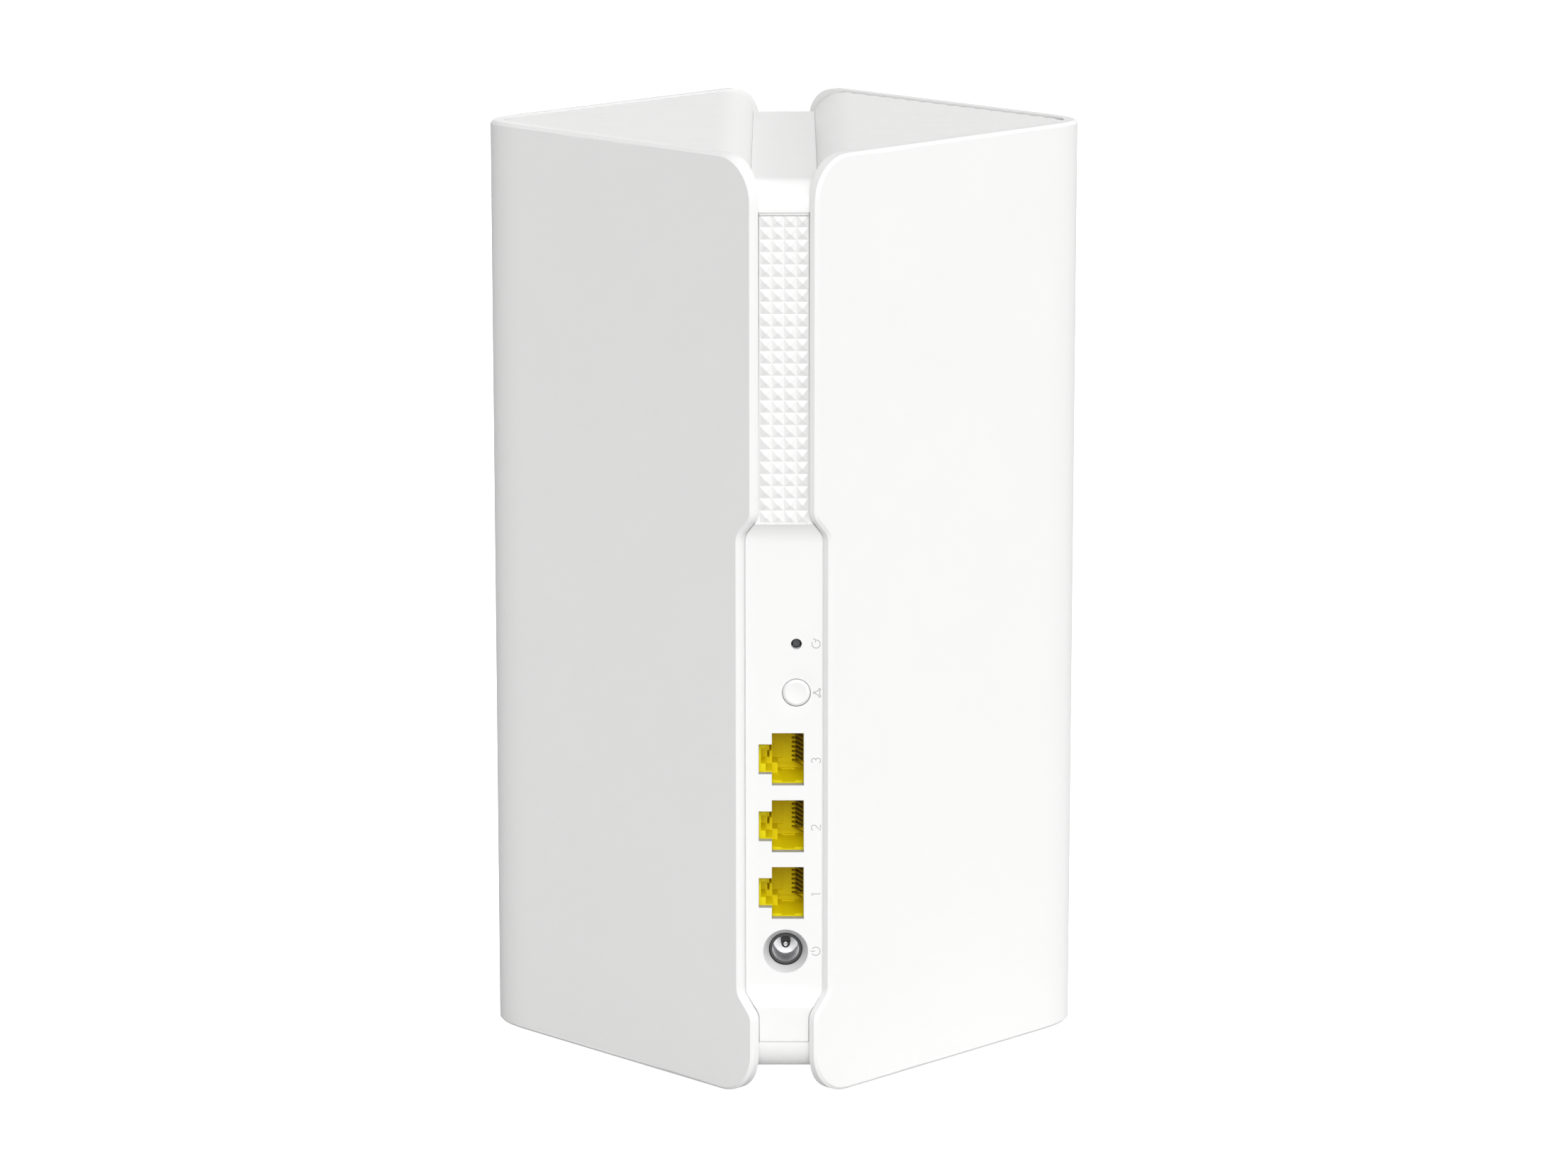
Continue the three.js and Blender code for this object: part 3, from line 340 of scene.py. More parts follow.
def rounded(points, radii, steps):
    """A polyline with its inner corners rounded, as (point, left-hand normal) pairs."""
    points = [Vector(point) for point in points]
    path = []
    for i, corner in enumerate(points):
        before = (corner - points[i - 1]).normalized() if i else None
        after = (points[i + 1] - corner).normalized() if i + 1 < len(points) else None
        if before is None or after is None:
            along = after or before
            path.append((corner, quarter_turn(along)))
            continue
        turn = math.atan2(before.x * after.y - before.y * after.x, before.dot(after))
        way = math.copysign(1, turn)
        radius = radii[i]
        start = corner - before * radius * math.tan(abs(turn) / 2)
        left = quarter_turn(before)
        centre = start + left * radius * way
        for k in range(steps + 1):
            normal = left.copy()
            normal.rotate(Matrix.Rotation(turn * k / steps, 2))
            path.append((centre - normal * radius * way, normal))
    return path


def circle(centre, radius, sides, start=0.0):
    """Points round a circle, as two-part vectors."""
    turns = (start + 2 * math.pi * i / sides for i in range(sides))
    return [Vector((centre[0] + radius * math.cos(t), centre[1] + radius * math.sin(t))) for t in turns]


def lathe(name, axis, centre, profile, sides, hollow=False):
    """A round body about the axis y or z, from a profile of (radius, place along the axis).

    The profile runs between two flat ends, or is a closed loop round the bore of a hollow body."""
    points = []
    for radius, along in profile:
        ring = circle(centre, radius, sides)
        points += [(p.x, along, p.y) if axis == "y" else (p.x, p.y, along) for p in ring]
    count = len(profile)
    faces = []
    for i in range(count if hollow else count - 1):
        near = i * sides
        far = (i + 1) % count * sides
        for j in range(sides):
            k = (j + 1) % sides
            faces.append((near + j, near + k, far + k, far + j))
    if not hollow:
        faces += [tuple(range(sides)), tuple(range((count - 1) * sides, count * sides))]
    return new_object(name, points, faces)


def box_points(x0, x1, y0, y1, z0, z1):
    return [(x, y, z) for x in (x0, x1) for y in (y0, y1) for z in (z0, z1)]


BOX_FACES = [(0, 1, 3, 2), (4, 6, 7, 5), (0, 4, 5, 1), (2, 3, 7, 6), (0, 2, 6, 4), (1, 5, 7, 3)]
RING_SIDES = ((0, 1), (1, 3), (3, 2), (2, 0))


def stroke_sides(line, half, closed=False):
    """The two points half away from a polyline, on its right and its left, at each of its points."""
    last = len(line) - 1
    for i, place in enumerate(line):
        if closed:
            along = line[(i + 1) % len(line)] - line[i - 1]
        else:
            along = line[min(i + 1, last)] - line[max(i - 1, 0)]
        across = quarter_turn(along.normalized()) * half
        yield place - across, place + across


def add_rod(points, faces, rings, closed=False):
    """Adds a four-sided rod, given as rings of four points, with two end faces unless it is closed."""
    first, count = len(points), len(rings)
    for ring in rings:
        points += ring
    for i in range(count if closed else count - 1):
        a, b = first + 4 * i, first + 4 * ((i + 1) % count)
        faces += [(a + m, a + n, b + n, b + m) for m, n in RING_SIDES]
    if not closed:
        last = first + 4 * (count - 1)
        faces += [(first, first + 1, first + 3, first + 2), (last, last + 2, last + 3, last + 1)]


def carve(piece, boxes, operation="DIFFERENCE"):
    """Cuts boxes out of a piece, or joins them to it."""
    for i, box in enumerate(boxes):
        tool = new_object(f"tool_{i}", box_points(*box), BOX_FACES)
        cut = piece.modifiers.new("cut", "BOOLEAN")
        cut.operation = operation
        cut.solver = "EXACT"
        cut.object = tool
        apply_modifiers(piece)
        bpy.data.objects.remove(tool)


# ---- outer covers

def plan_point(column, depth):
    """A point of a wing's plan, depth inward of its outer face. A column is (x, y, normal x, normal y)."""
    x, y, nx, ny = column
    return x - nx * depth, y - ny * depth


def flat_column(end, x):
    return x, end * (HALF_DIAGONAL - x), 1 / ROOT2, end / ROOT2


def corner_column(share):
    """A point of the rounded outer corner, from its rear end (0) to its front end (1)."""
    reach = CORNER_TANGENT / ROOT2
    handle = reach * (1 - CORNER_FULLNESS)
    ends = [(HALF_DIAGONAL - reach, -reach), (HALF_DIAGONAL - handle, -handle),
            (HALF_DIAGONAL - handle, handle), (HALF_DIAGONAL - reach, reach)]
    ends = [Vector(point) for point in ends]
    rest = 1 - share
    place = (ends[0] * rest ** 3 + ends[1] * 3 * rest ** 2 * share
             + ends[2] * 3 * rest * share ** 2 + ends[3] * share ** 3)
    way = ((ends[1] - ends[0]) * rest ** 2 + (ends[2] - ends[1]) * 2 * rest * share
           + (ends[3] - ends[2]) * share ** 2).normalized()
    return place.x, place.y, way.y, -way.x


def free_edges():
    """The cover's rear and front free edges from bottom to top, in the plane of the face each one ends.

    Each is a list of (distance from the virtual corner, height) with the direction into the sheet."""
    narrow = EDGE_NARROW * ROOT2
    wide = EDGE_WIDE * ROOT2
    start = narrow + SHOULDER + 1
    corners = [(start, COVER_LOW), (narrow, COVER_LOW), (narrow, NARROW_BELOW), (wide, WIDE_BOTTOM),
               (wide, WIDE_TOP), (narrow, NARROW_ABOVE), (narrow, COVER_HIGH), (start, COVER_HIGH)]
    radii = [0, SHOULDER, DIAGONAL_ROUND, DIAGONAL_ROUND, DIAGONAL_ROUND, DIAGONAL_ROUND, SHOULDER, 0]
    rear = [(point, -normal) for point, normal in rounded(corners, radii, 12)][1:-1]
    front = []
    for point, inward in rear:
        if COVER_LOW + SHOULDER < point.y < COVER_HIGH - SHOULDER:
            front.append((Vector((narrow, point.y)), Vector((1, 0))))
        else:
            front.append((point, inward))
    return rear, front


def cover_grid(inset, depth_at):
    """Rows of points over a cover, its outline pulled in by inset and each point depth_at(height) deep."""
    flat_steps, corner_steps = 8, 28
    tangent = HALF_DIAGONAL - CORNER_TANGENT / ROOT2
    rows = []
    for (rear, rear_in), (front, front_in) in zip(*free_edges()):
        a = rear + rear_in * inset
        b = front + front_in * inset
        shares = [i / flat_steps for i in range(flat_steps + 1)]
        columns = [flat_column(-1, a.x / ROOT2 * (1 - t) + tangent * t) for t in shares]
        columns += [corner_column(i / corner_steps) for i in range(1, corner_steps)]
        columns += [flat_column(1, tangent * (1 - t) + b.x / ROOT2 * t) for t in shares]
        row = []
        for i, column in enumerate(columns):
            share = i / (len(columns) - 1)
            z = a.y * (1 - share) + b.y * share
            row.append((*plan_point(column, depth_at(z)), z))
        rows.append(row)
    return rows


def lip_depth(z):
    """Wall thickness at a height: thicker along the two rims."""
    blend = ease(min(z - COVER_LOW, COVER_HIGH - z) / LIP_BLEND)
    return COVER_LIP * (1 - blend) + COVER_WALL * blend


def drop_loose(piece):
    """Removes points that no face uses."""
    body = bmesh.new()
    body.from_mesh(piece.data)
    bmesh.ops.delete(body, geom=[v for v in body.verts if not v.link_faces], context="VERTS")
    body.to_mesh(piece.data)
    body.free()


def outer_cover(side_name, side):
    """A wing's V-shaped shell: a chamfered outer skin over a wall that thickens at both rims."""
    outer = cover_grid(COVER_CHAMFER, lambda z: 0)
    middle = cover_grid(0, lambda z: COVER_CHAMFER)
    inner = cover_grid(0, lip_depth)
    height, width = len(outer), len(outer[0])
    points = [(side * x, y, z) for grid in (outer, middle, inner) for row in grid for x, y, z in row]
    size = height * width
    faces = []
    for i in range(height - 1):
        for j in range(width - 1):
            near, far = i * width + j, (i + 1) * width + j
            quad = (near, near + 1, far + 1, far)
            faces += [quad, tuple(2 * size + index for index in quad)]
    rim = list(range(width))
    rim += [i * width + width - 1 for i in range(1, height)]
    rim += [(height - 1) * width + j for j in range(width - 2, -1, -1)]
    rim += [i * width for i in range(height - 2, 0, -1)]
    for a, b in zip(rim, rim[1:] + rim[:1]):
        faces += [(a, b, size + b, size + a), (size + a, size + b, 2 * size + b, 2 * size + a)]
    piece = new_object(f"{side_name}_cover_shell", points, faces)
    drop_loose(piece)
    settle(piece, "cover_white", replaces=[f"{side_name}_outer_cover"])
    soften(piece, 0.16)


# ---- inner cases

def rib(y):
    """Height of the ribs at y: rounded ridges with narrow valleys, 1 on a crest and 0 in a valley."""
    return abs(math.sin(math.pi * y / RIB_PITCH))


def inner_case(side_name, side):
    """The case's skin: ribbed top, ribbed shoulder, channel wall and bottom flange."""
    top, wall, low = CASE_HIGH, CHANNEL_HALF, CASE_LOW
    corners = [(HALF_DIAGONAL, top), (wall, top), (wall, WINDOW_HIGH), (wall, WINDOW_LOW), (wall, low),
               (CASE_FLANGE, low)]
    path = rounded(corners, [0, CASE_SHOULDER, 0, 0, CASE_SHOULDER, 0], 14)
    profile = []
    for point, normal in path:
        lean = math.asin(min(max(-normal.y, 0), 1))       # a right angle on the top, nothing on the wall
        profile.append((point, -normal, ease((lean - RIB_FADE_START) / RIB_FADE)))
    reach = HALF_DIAGONAL - CASE_INSET * ROOT2
    count = math.ceil((reach - wall) / RIB_PITCH * RIB_SAMPLES)
    ys = [i * RIB_PITCH / RIB_SAMPLES for i in range(-count, count + 1)]
    points = []
    for y in ys:
        for point, outward, fade in profile:
            x, z = point + outward * (rib(y) - 1) * RIB_HEIGHT * fade
            points.append((side * x, y, z))
    width = len(profile)
    faces = []
    for i in range(len(ys) - 1):
        for j in range(width - 1):
            middle = (profile[j][0].y + profile[j + 1][0].y) / 2
            on_wall = max(profile[j][0].x, profile[j + 1][0].x) < wall + 0.01
            in_window = on_wall and WINDOW_LOW < middle < WINDOW_HIGH and ys[i] < WINDOW_FRONT
            if not in_window:
                near, far = i * width + j, (i + 1) * width + j
                faces.append((near, near + 1, far + 1, far))
    piece = new_object(f"{side_name}_ribbed_case", points, faces)
    clip_to_wing(piece, side)
    face_outward(piece)
    shell = piece.modifiers.new("wall", "SOLIDIFY")
    shell.thickness = CASE_WALL * MM
    shell.offset = -1
    apply_modifiers(piece)
    settle(piece, "case_white", replaces=[f"{side_name}_inner_case"], crease=50)


def clip_to_wing(piece, side):
    """Cuts a skin along the plan of the wing's inside, whose outer corner is rounded."""
    corner_steps = 12
    columns = [flat_column(-1, HALF_DIAGONAL / 2), flat_column(1, HALF_DIAGONAL / 2)]
    columns += [corner_column(i / corner_steps) for i in range(corner_steps + 1)]
    body = bmesh.new()
    body.from_mesh(piece.data)
    for column in columns:
        x, y = plan_point(column, CASE_INSET)
        normal = (side * column[2], column[3], 0)
        everything = body.verts[:] + body.edges[:] + body.faces[:]
        bmesh.ops.bisect_plane(body, geom=everything, plane_co=Vector((side * x, y, 0)) * MM,
                               plane_no=normal, clear_outer=True, dist=1e-7)
    body.to_mesh(piece.data)
    body.free()
    drop_loose(piece)


def face_outward(piece):
    """Turns an open skin so that its top faces up."""
    top = [face for face in piece.data.polygons if face.center.z > CASE_HIGH * MM / 2]
    if sum(face.normal.z * face.area for face in top) < 0:
        piece.data.flip_normals()


# ---- spine

def channel_half(z):
    """Half the width between the two cases at a height, where their rounded shoulders draw apart."""
    beyond = max(z - (CASE_HIGH - CASE_SHOULDER), CASE_LOW + CASE_SHOULDER - z, 0)
    return CHANNEL_HALF + CASE_SHOULDER - math.sqrt(CASE_SHOULDER ** 2 - beyond ** 2)


def spine_cap(name, up, crown, seam, node):
    """A cap that wraps over the spine's end, from its rear seam to its front seam."""
    face = STRIP_FACE
    corners = [(-face, seam), (-face, crown), (face, crown), (face, seam)]
    path = rounded(corners, [0, SPINE_FILLET, SPINE_FILLET, 0], 14)
    narrowing = HALF_DIAGONAL - COVER_WALL * ROOT2 - 2 * CAP_GAP
    points = []
    for point, normal in path:
        inward = -normal * up
        for place in (point, point + inward * SPINE_SKIN):
            reach = min(channel_half(place.y) - CAP_GAP, narrowing - abs(point.x))
            points += [(x, place.x, place.y) for x in (-reach, reach)]
    faces = []
    last = 4 * (len(path) - 1)
    for i in range(0, last, 4):
        n = i + 4
        faces += [(i, i + 1, n + 1, n), (i + 2, n + 2, n + 3, i + 3), (i, n, n + 2, i + 2),
                  (i + 1, i + 3, n + 3, n + 1)]
    faces += [(0, 2, 3, 1), (last, last + 1, last + 3, last + 2)]
    piece = new_object(name, points, faces)
    settle(piece, "spine_white", replaces=[node])
    soften(piece, 0.07)


def seam_tongues():
    """The lips that fill the four seams between the caps and the strips, a little below the surface."""
    half, setback, thick, fit = 5.5, 0.35, 0.9, 0.01
    points = []
    faces = []
    for low, high in ((PANEL_HIGH.z, CAP_LOW.z), (FOOT_CAP_HIGH.z, PANEL_LOW.z)):
        for end in (-1, 1):
            first = len(points)
            near, far = end * (STRIP_FACE - setback), end * (STRIP_FACE - setback - thick)
            points += box_points(-half, half, min(near, far), max(near, far), low + fit, high - fit)
            faces += [tuple(first + index for index in face) for face in BOX_FACES]
    piece = new_object("spine_seam_tongues", points, faces)
    settle(piece, "spine_white", crease=30)


def inside(point, loop):
    """Whether a point of the (x, z) plane lies within a closed outline."""
    hit = False
    for a, b in zip(loop, loop[1:] + loop[:1]):
        if (a[1] > point[1]) != (b[1] > point[1]):
            if point[0] < a[0] + (b[0] - a[0]) * (point[1] - a[1]) / (b[1] - a[1]):
                hit = not hit
    return hit


def height_on(path, z):
    """The depth of a rounded profile at a height, between its nearest points."""
    for (a, _), (b, _) in zip(path, path[1:]):
        low, high = sorted((a.y, b.y))
        if low <= z <= high:
            share = 0.5 if high == low else (z - a.y) / (b.y - a.y)
            return a.x + (b.x - a.x) * share
    return path[0][0].x if abs(path[0][0].y - z) < abs(path[-1][0].y - z) else path[-1][0].x


def outline_half(loop, z):
    """Half the width of a symmetric outline at a height."""
    crossings = []
    for a, b in zip(loop, loop[1:] + loop[:1]):
        if (a[1] - z) * (b[1] - z) <= 0 and a[1] != b[1]:
            crossings.append(abs(a[0] + (b[0] - a[0]) * (z - a[1]) / (b[1] - a[1])))
    return min(crossings)


def strip_outline(low, high):
    """The outline in (x, z) of a plain strip."""
    half = STRIP_HALF
    return [Vector(p) for p in ((-half, low), (half, low), (half, high), (-half, high))]


def waisted_outline(low, high):
    """The outline in (x, z) of the socket panel, which keeps a fine seam to the covers' inner corners."""
    right = [Vector((STRIP_HALF, low))]
    for edge, into in free_edges()[0]:
        if NARROW_BELOW - DIAGONAL_ROUND < edge.y < NARROW_ABOVE + DIAGONAL_ROUND:
            x = (edge.x - COVER_WALL) / ROOT2 - SEAM * into.x
            right.append(Vector((max(x, STRIP_HALF), edge.y - SEAM * into.y)))
    right.append(Vector((STRIP_HALF, high)))
    return right + [Vector((-point.x, point.y)) for point in reversed(right)]


def lan_mouth(z):
    """The mouth of a network socket: the plug's opening and the notch for its latch."""
    corners = [(LAN_LEFT, -LAN_HALF), (LAN_RIGHT, -LAN_HALF), (LAN_RIGHT, LAN_HALF), (LAN_LEFT, LAN_HALF),
               (LAN_LEFT, NOTCH_HALF), (NOTCH_LEFT, NOTCH_HALF), (NOTCH_LEFT, -NOTCH_HALF),
               (LAN_LEFT, -NOTCH_HALF)]
    return [Vector((x, z + rise)) for x, rise in corners]


def dish(x, z):
    """How far the panel is sunk around the mesh button."""
    away = math.hypot(x - BUTTON_X, z - MESH_Z)
    return DISH_DEPTH * (1 - ease((away - MESH_HOLE) / DISH_WIDTH))


class Flat:
    """Points and edges gathered in the (x, z) plane, ready to be triangulated."""

    def __init__(self):
        self.points = []
        self.edges = []

    def loop(self, points, closed=True):
        first = len(self.points)
        self.points += points
        count = len(points)
        ends = count if closed else count - 1
        self.edges += [(first + i, first + (i + 1) % count) for i in range(ends)]


def pyramid_lines(flat, low, pitch, rows, cell):
    """The valleys and ridges of a field of pyramids."""
    columns = [-PATTERN_HALF + j * cell for j in range(PATTERN_COLUMNS + 1)]
    levels = [low + i * pitch for i in range(rows + 1)]
    for z in levels:
        flat.loop([Vector((x, z)) for x in columns], closed=False)
    for x in columns:
        flat.loop([Vector((x, z)) for z in levels], closed=False)
    for z in levels[:-1]:
        for x in columns[:-1]:
            flat.loop([Vector((x, z)), Vector((x + cell, z + pitch))], closed=False)
            flat.loop([Vector((x + cell, z)), Vector((x, z + pitch))], closed=False)


def sheet_faces(front, count):
    """Closes a sheet: its front faces, the same faces on the points count further on, and the rims."""
    faces = []
    seen = {}
    for corners in front:
        faces.append(tuple(corners))
        faces.append(tuple(i + count for i in reversed(corners)))
        for edge in zip(corners, corners[1:] + corners[:1]):
            seen[frozenset(edge)] = seen.get(frozenset(edge), 0) + 1
    rim = [tuple(edge) for edge, times in seen.items() if times == 1]
    return faces + [(a, b, b + count, a + count) for a, b in rim]


def spine_panel(name, node, end, profile, outline, holes, pattern, rings=(), sink=None, tapers=()):
    """A long panel seen along y: its face follows a profile of (depth, height), with holes and pyramids.

    end is -1 at the rear and 1 at the front. pattern is (low, high, rows). tapers lists the round holes, as
    (centre, radius, share), whose back edge is drawn in towards their centre by that share."""
    low, high, rows = pattern
    foot, head = low - PATTERN_LOW_RAMP, high + PATTERN_HIGH_RAMP
    pitch = (high - low) / rows
    cell = 2 * PATTERN_HALF / PATTERN_COLUMNS
    nearly = 0.02
    flat = Flat()
    for loop in (outline, *holes, *rings):
        flat.loop(loop)
    for z in sorted({round(point.y, 4) for point, _ in profile})[1:-1]:
        half = outline_half(outline, z) - nearly
        flat.loop([Vector((-half, z)), Vector((half, z))], closed=False)
    pyramid_lines(flat, low, pitch, rows, cell)
    for z in (foot, low, high, head):
        flat.loop([Vector((-STRIP_HALF + nearly, z)), Vector((STRIP_HALF - nearly, z))], closed=False)
    verts, _, faces, *_ = delaunay_2d_cdt(flat.points, flat.edges, [], 0, 1e-5)

    def face_depth(x, z):
        depth = height_on(profile, z)
        if foot <= z <= head:
            into = min((z - foot) / PATTERN_LOW_RAMP, (head - z) / PATTERN_HIGH_RAMP, 1)
            depth -= PATTERN_SINK * into
        if low < z < high and abs(x) < PATTERN_HALF:
            across = abs(((x + PATTERN_HALF) / cell) % 1 - 0.5)
            along = abs(((z - low) / pitch) % 1 - 0.5)
            depth += PATTERN_HEIGHT * (1 - 2 * max(across, along))
        return depth - (sink(x, z) if sink else 0)

    kept = []
    for face in faces:
        centre = sum((verts[i] for i in face), Vector((0, 0))) / len(face)
        if inside(centre, outline) and not any(inside(centre, hole) for hole in holes):
            kept.append(face)
    used = sorted({i for face in kept for i in face})
    index = {vert: i for i, vert in enumerate(used)}
    points = [(verts[i].x, end * face_depth(*verts[i]), verts[i].y) for i in used]
    for i in used:
        place = verts[i].copy()
        for centre, radius, share in tapers:
            if abs((place - centre).length - radius) < 0.01:
                place = centre + (place - centre) * share
        points.append((place.x, end * (height_on(profile, verts[i].y) - SPINE_SKIN), place.y))
    front = [[index[i] for i in face] for face in kept]
    piece = new_object(name, points, sheet_faces(front, len(used)))
    settle(piece, "spine_white", replaces=[node], crease=24)


def socket_profile():
    """The socket panel's face in (depth, height): its middle is set in, with a slope at each end."""
    low, high = PANEL_LOW.z, PANEL_HIGH.z
    strip, panel = STRIP_FACE, PANEL_FACE
    step = strip - panel
    corners = [(strip, high), (strip, SLOPE_TOP), (panel, SLOPE_TOP - step), (panel, SLOPE_BOTTOM + step),
               (strip, SLOPE_BOTTOM), (strip, low)]
    return rounded(corners, [0, 0.15, SLOPE_ROUND, SLOPE_ROUND, 0.15, 0], 8)


def rear_panel():
    """The socket panel below its strip of pyramids, with every opening of the rear."""
    low, high = PANEL_LOW.z, PANEL_HIGH.z
    dc = Vector((DC_X, DC_Z))
    mesh = Vector((BUTTON_X, MESH_Z))
    holes = [lan_mouth(z) for z in LAN_HEIGHTS]
    holes.append(circle(dc, DC_MOUTH, 64))
    holes.append(circle(mesh, MESH_HOLE, 64))
    holes.append(circle((BUTTON_X, RESET_Z), RESET_HOLE, 32))
    rings = []
    for i in range(1, DISH_RINGS + 1):
        rings.append(circle(mesh, MESH_HOLE + DISH_WIDTH / DISH_RINGS * i, 64, math.pi / 64 * (i % 2)))
    pattern = (SLOPE_TOP + PATTERN_LEDGE, high - PATTERN_EAVE, PATTERN_ROWS)
    spine_panel("rear_socket_panel", "rear_panel", -1, socket_profile(), waisted_outline(low, high), holes,
                pattern, rings, dish, [(dc, DC_MOUTH, DC_THROAT / DC_MOUTH)])


def rear_panel_flange():
    """The flange behind the socket panel's rim, which closes the seam beside the covers."""
    end, setback, reach, thick, clearance = 0.02, 0.6, 0.3, 0.7, 0.1
    profile = socket_profile()
    rim = waisted_outline(PANEL_LOW.z + end, PANEL_HIGH.z - end)
    wall = HALF_DIAGONAL - COVER_WALL * ROOT2

    def outer_half(p):
        half = abs(p.x) + reach
        if WINDOW_LOW + clearance < p.y < WINDOW_HIGH - clearance:
            half = max(half, wall - height_on(profile, p.y) + setback - clearance)
        return half

    points = []
    for half_at in (lambda p: abs(p.x) + 0.01, outer_half):
        for back in (setback, setback + thick):
            points += [(math.copysign(half_at(p), p.x), back - height_on(profile, p.y), p.y) for p in rim]
    count = len(rim)
    faces = []
    for i in range(count):
        j = (i + 1) % count
        for a, b in RING_SIDES:
            faces.append((a * count + i, a * count + j, b * count + j, b * count + i))
    piece = new_object("rear_panel_flange", points, faces)
    settle(piece, "spine_white", crease=30)


def front_panel():
    """The strip facing the room: the same pyramids down to a plain foot with the status light."""
    low, high = (corner.z for corner in millimetres("front_panel"))
    profile = [(Vector((STRIP_FACE, z)), None) for z in (high, FRONT_FOOT_TOP, low)]
    start, stop = FRONT_FOOT_TOP + PATTERN_LEDGE, high - PATTERN_EAVE
    rear_pitch = (high - PATTERN_EAVE - SLOPE_TOP - PATTERN_LEDGE) / PATTERN_ROWS
    rows = round((stop - start) / rear_pitch)
    spine_panel("front_strip", "front_panel", 1, profile, strip_outline(low, high),
                [circle((0, LIGHT_Z), LIGHT_HOLE, 48)], (start, stop, rows))


# ---- network sockets

def contact_heights(z):
    return [z + (i - (CONTACT_COUNT - 1) / 2) * CONTACT_PITCH for i in range(CONTACT_COUNT)]


def jack_cuts():
    """A jack's cavities as boxes in x, depth and height: bay, groove, latch recess, pocket and comb."""
    left, right = LAN_LEFT + BAY_INSET, LAN_RIGHT - BAY_INSET
    ledge = LEDGE_RIGHT + CUT_LAP
    back = BAY_DEPTH - CUT_LAP
    mouth = -1
    groove_left, groove_right, groove_low = -0.54, 2.37, -5.62
    cuts = [
        (LEDGE_RIGHT, right, mouth, BAY_DEPTH, BAY_LOW, BAY_HIGH),
        (left, ledge, mouth, BAY_DEPTH, LEDGE_TOP, BAY_HIGH),
        (left, ledge, mouth, LEDGE_DEPTH, BAY_LOW, LEDGE_TOP + CUT_LAP),
        (groove_left, groove_right, mouth, BAY_DEPTH, groove_low, BAY_LOW + CUT_LAP),
        (left, INSERT_LEFT, back, BACK_DEPTH, LEDGE_TOP, BAY_HIGH),
        (INSERT_LEFT - CUT_LAP, right, back, BACK_DEPTH, INSERT_HALF, BAY_HIGH),
        (LEDGE_RIGHT, right, back, BACK_DEPTH, BAY_LOW, -INSERT_HALF),
    ]
    for x0, x1, z0, z1 in (LATCH_POCKET, LATCH_THROAT):
        cuts.append((x0, x1, mouth, LEDGE_DEPTH, z0, z1))
    for x0, x1, z0, z1 in LATCH_SLOTS:
        cuts.append((x0, x1, *LATCH_SLOT_DEPTHS, z0, z1))
    cuts.append((COMB_POCKET_LEFT, right, back, COMB_DEPTH, -INSERT_HALF, BAY_HIGH))
    for middle in contact_heights(0):
        cuts.append((COMB_LEFT, right, back, COMB_DEPTH, middle - COMB_SLOT_HALF, middle + COMB_SLOT_HALF))
    return cuts


def lan_jack(number, z):
    """A yellow jack with its stepped cavity, latch recess and comb of contact slots."""
    low, high = millimetres(f"lan_jack_{number}")
    body = box_points(low.x, high.x, low.y, high.y, z - JACK_HALF, z + JACK_HALF)
    piece = new_object(f"network_jack_{number}", body, BOX_FACES)
    face = low.y
    carve(piece, [(x0, x1, face + y0, face + y1, z + z0, z + z1) for x0, x1, y0, y1, z0, z1 in jack_cuts()])
    settle(piece, "jack_yellow", replaces=[f"lan_jack_{number}"], crease=20)
    soften(piece, 0.07, angle=40)


def contact_wires(number, z):
    """Eight sprung wires that lean out of the comb towards the mouth."""
    half = 0.15
    route = [(1.95, 14), (2.0, 12.4), (2.3, 11.0), (4.0, 6.9), (4.36, 6.3)]
    route = [Vector((x, JACK_FACE + depth)) for x, depth in route]
    points, faces = [], []
    for middle in contact_heights(z):
        sides = stroke_sides(route, half)
        rings = [[(p.x, p.y, middle + lift) for p in pair for lift in (-half, half)] for pair in sides]
        add_rod(points, faces, rings)
    piece = new_object(f"network_contacts_{number}", points, faces)
    settle(piece, "contact_gold", replaces=[f"lan_contacts_{number}"])
    soften(piece, 0.06)


def contact_carrier(number, z):
    """The olive plate at the back of the comb, from which the wires spring; its dark olive is also painted
    shade deep in the pocket.
    """
    left, right = 1.75, LAN_RIGHT - 0.15
    front, back, low, high = JACK_FACE + 13.9, JACK_FACE + 14.45, -4.0, 5.7
    plate = box_points(left, right, front, back, z + low, z + high)
    piece = new_object(f"network_contact_carrier_{number}", plate, BOX_FACES)
    settle(piece, "black_plastic", crease=30, material=CARRIER_AND_SHADE)
    soften(piece, 0.05)


def painted_shade_liner(number, z):
    """A thin grey liner round the inside of a socket's mouth; its grey is painted shade on the sill and
    walls of the mouth.
    """
    fit, thick, join = 0.01, 0.06, 0.5
    front, back = -PANEL_FACE + 0.04, -PANEL_FACE + SPINE_SKIN - 0.02

    def openings(inset, y0, y1):
        plug = (LAN_LEFT + inset, LAN_RIGHT - inset, y0, y1, z - LAN_HALF + inset, z + LAN_HALF - inset)
        notch = (NOTCH_LEFT + inset, LAN_LEFT + join, y0, y1, z - NOTCH_HALF + inset, z + NOTCH_HALF - inset)
        return plug, notch

    plug, notch = openings(fit, front, back)
    piece = new_object(f"network_painted_shade_liner_{number}", box_points(*plug), BOX_FACES)
    carve(piece, [notch], "UNION")
    carve(piece, openings(fit + thick, front - 1, back + 1))
    settle(piece, "lead_grey", crease=30, material=SILL_SHADE)


# ---- power inlet

def inlet_part(name, profile, sides, slot, hollow=True, **finish):
    """A round part of the power inlet, about the inlet's own axis."""
    settle(lathe("power_inlet_" + name, "y", (DC_X, DC_Z), profile, sides, hollow), slot, **finish)


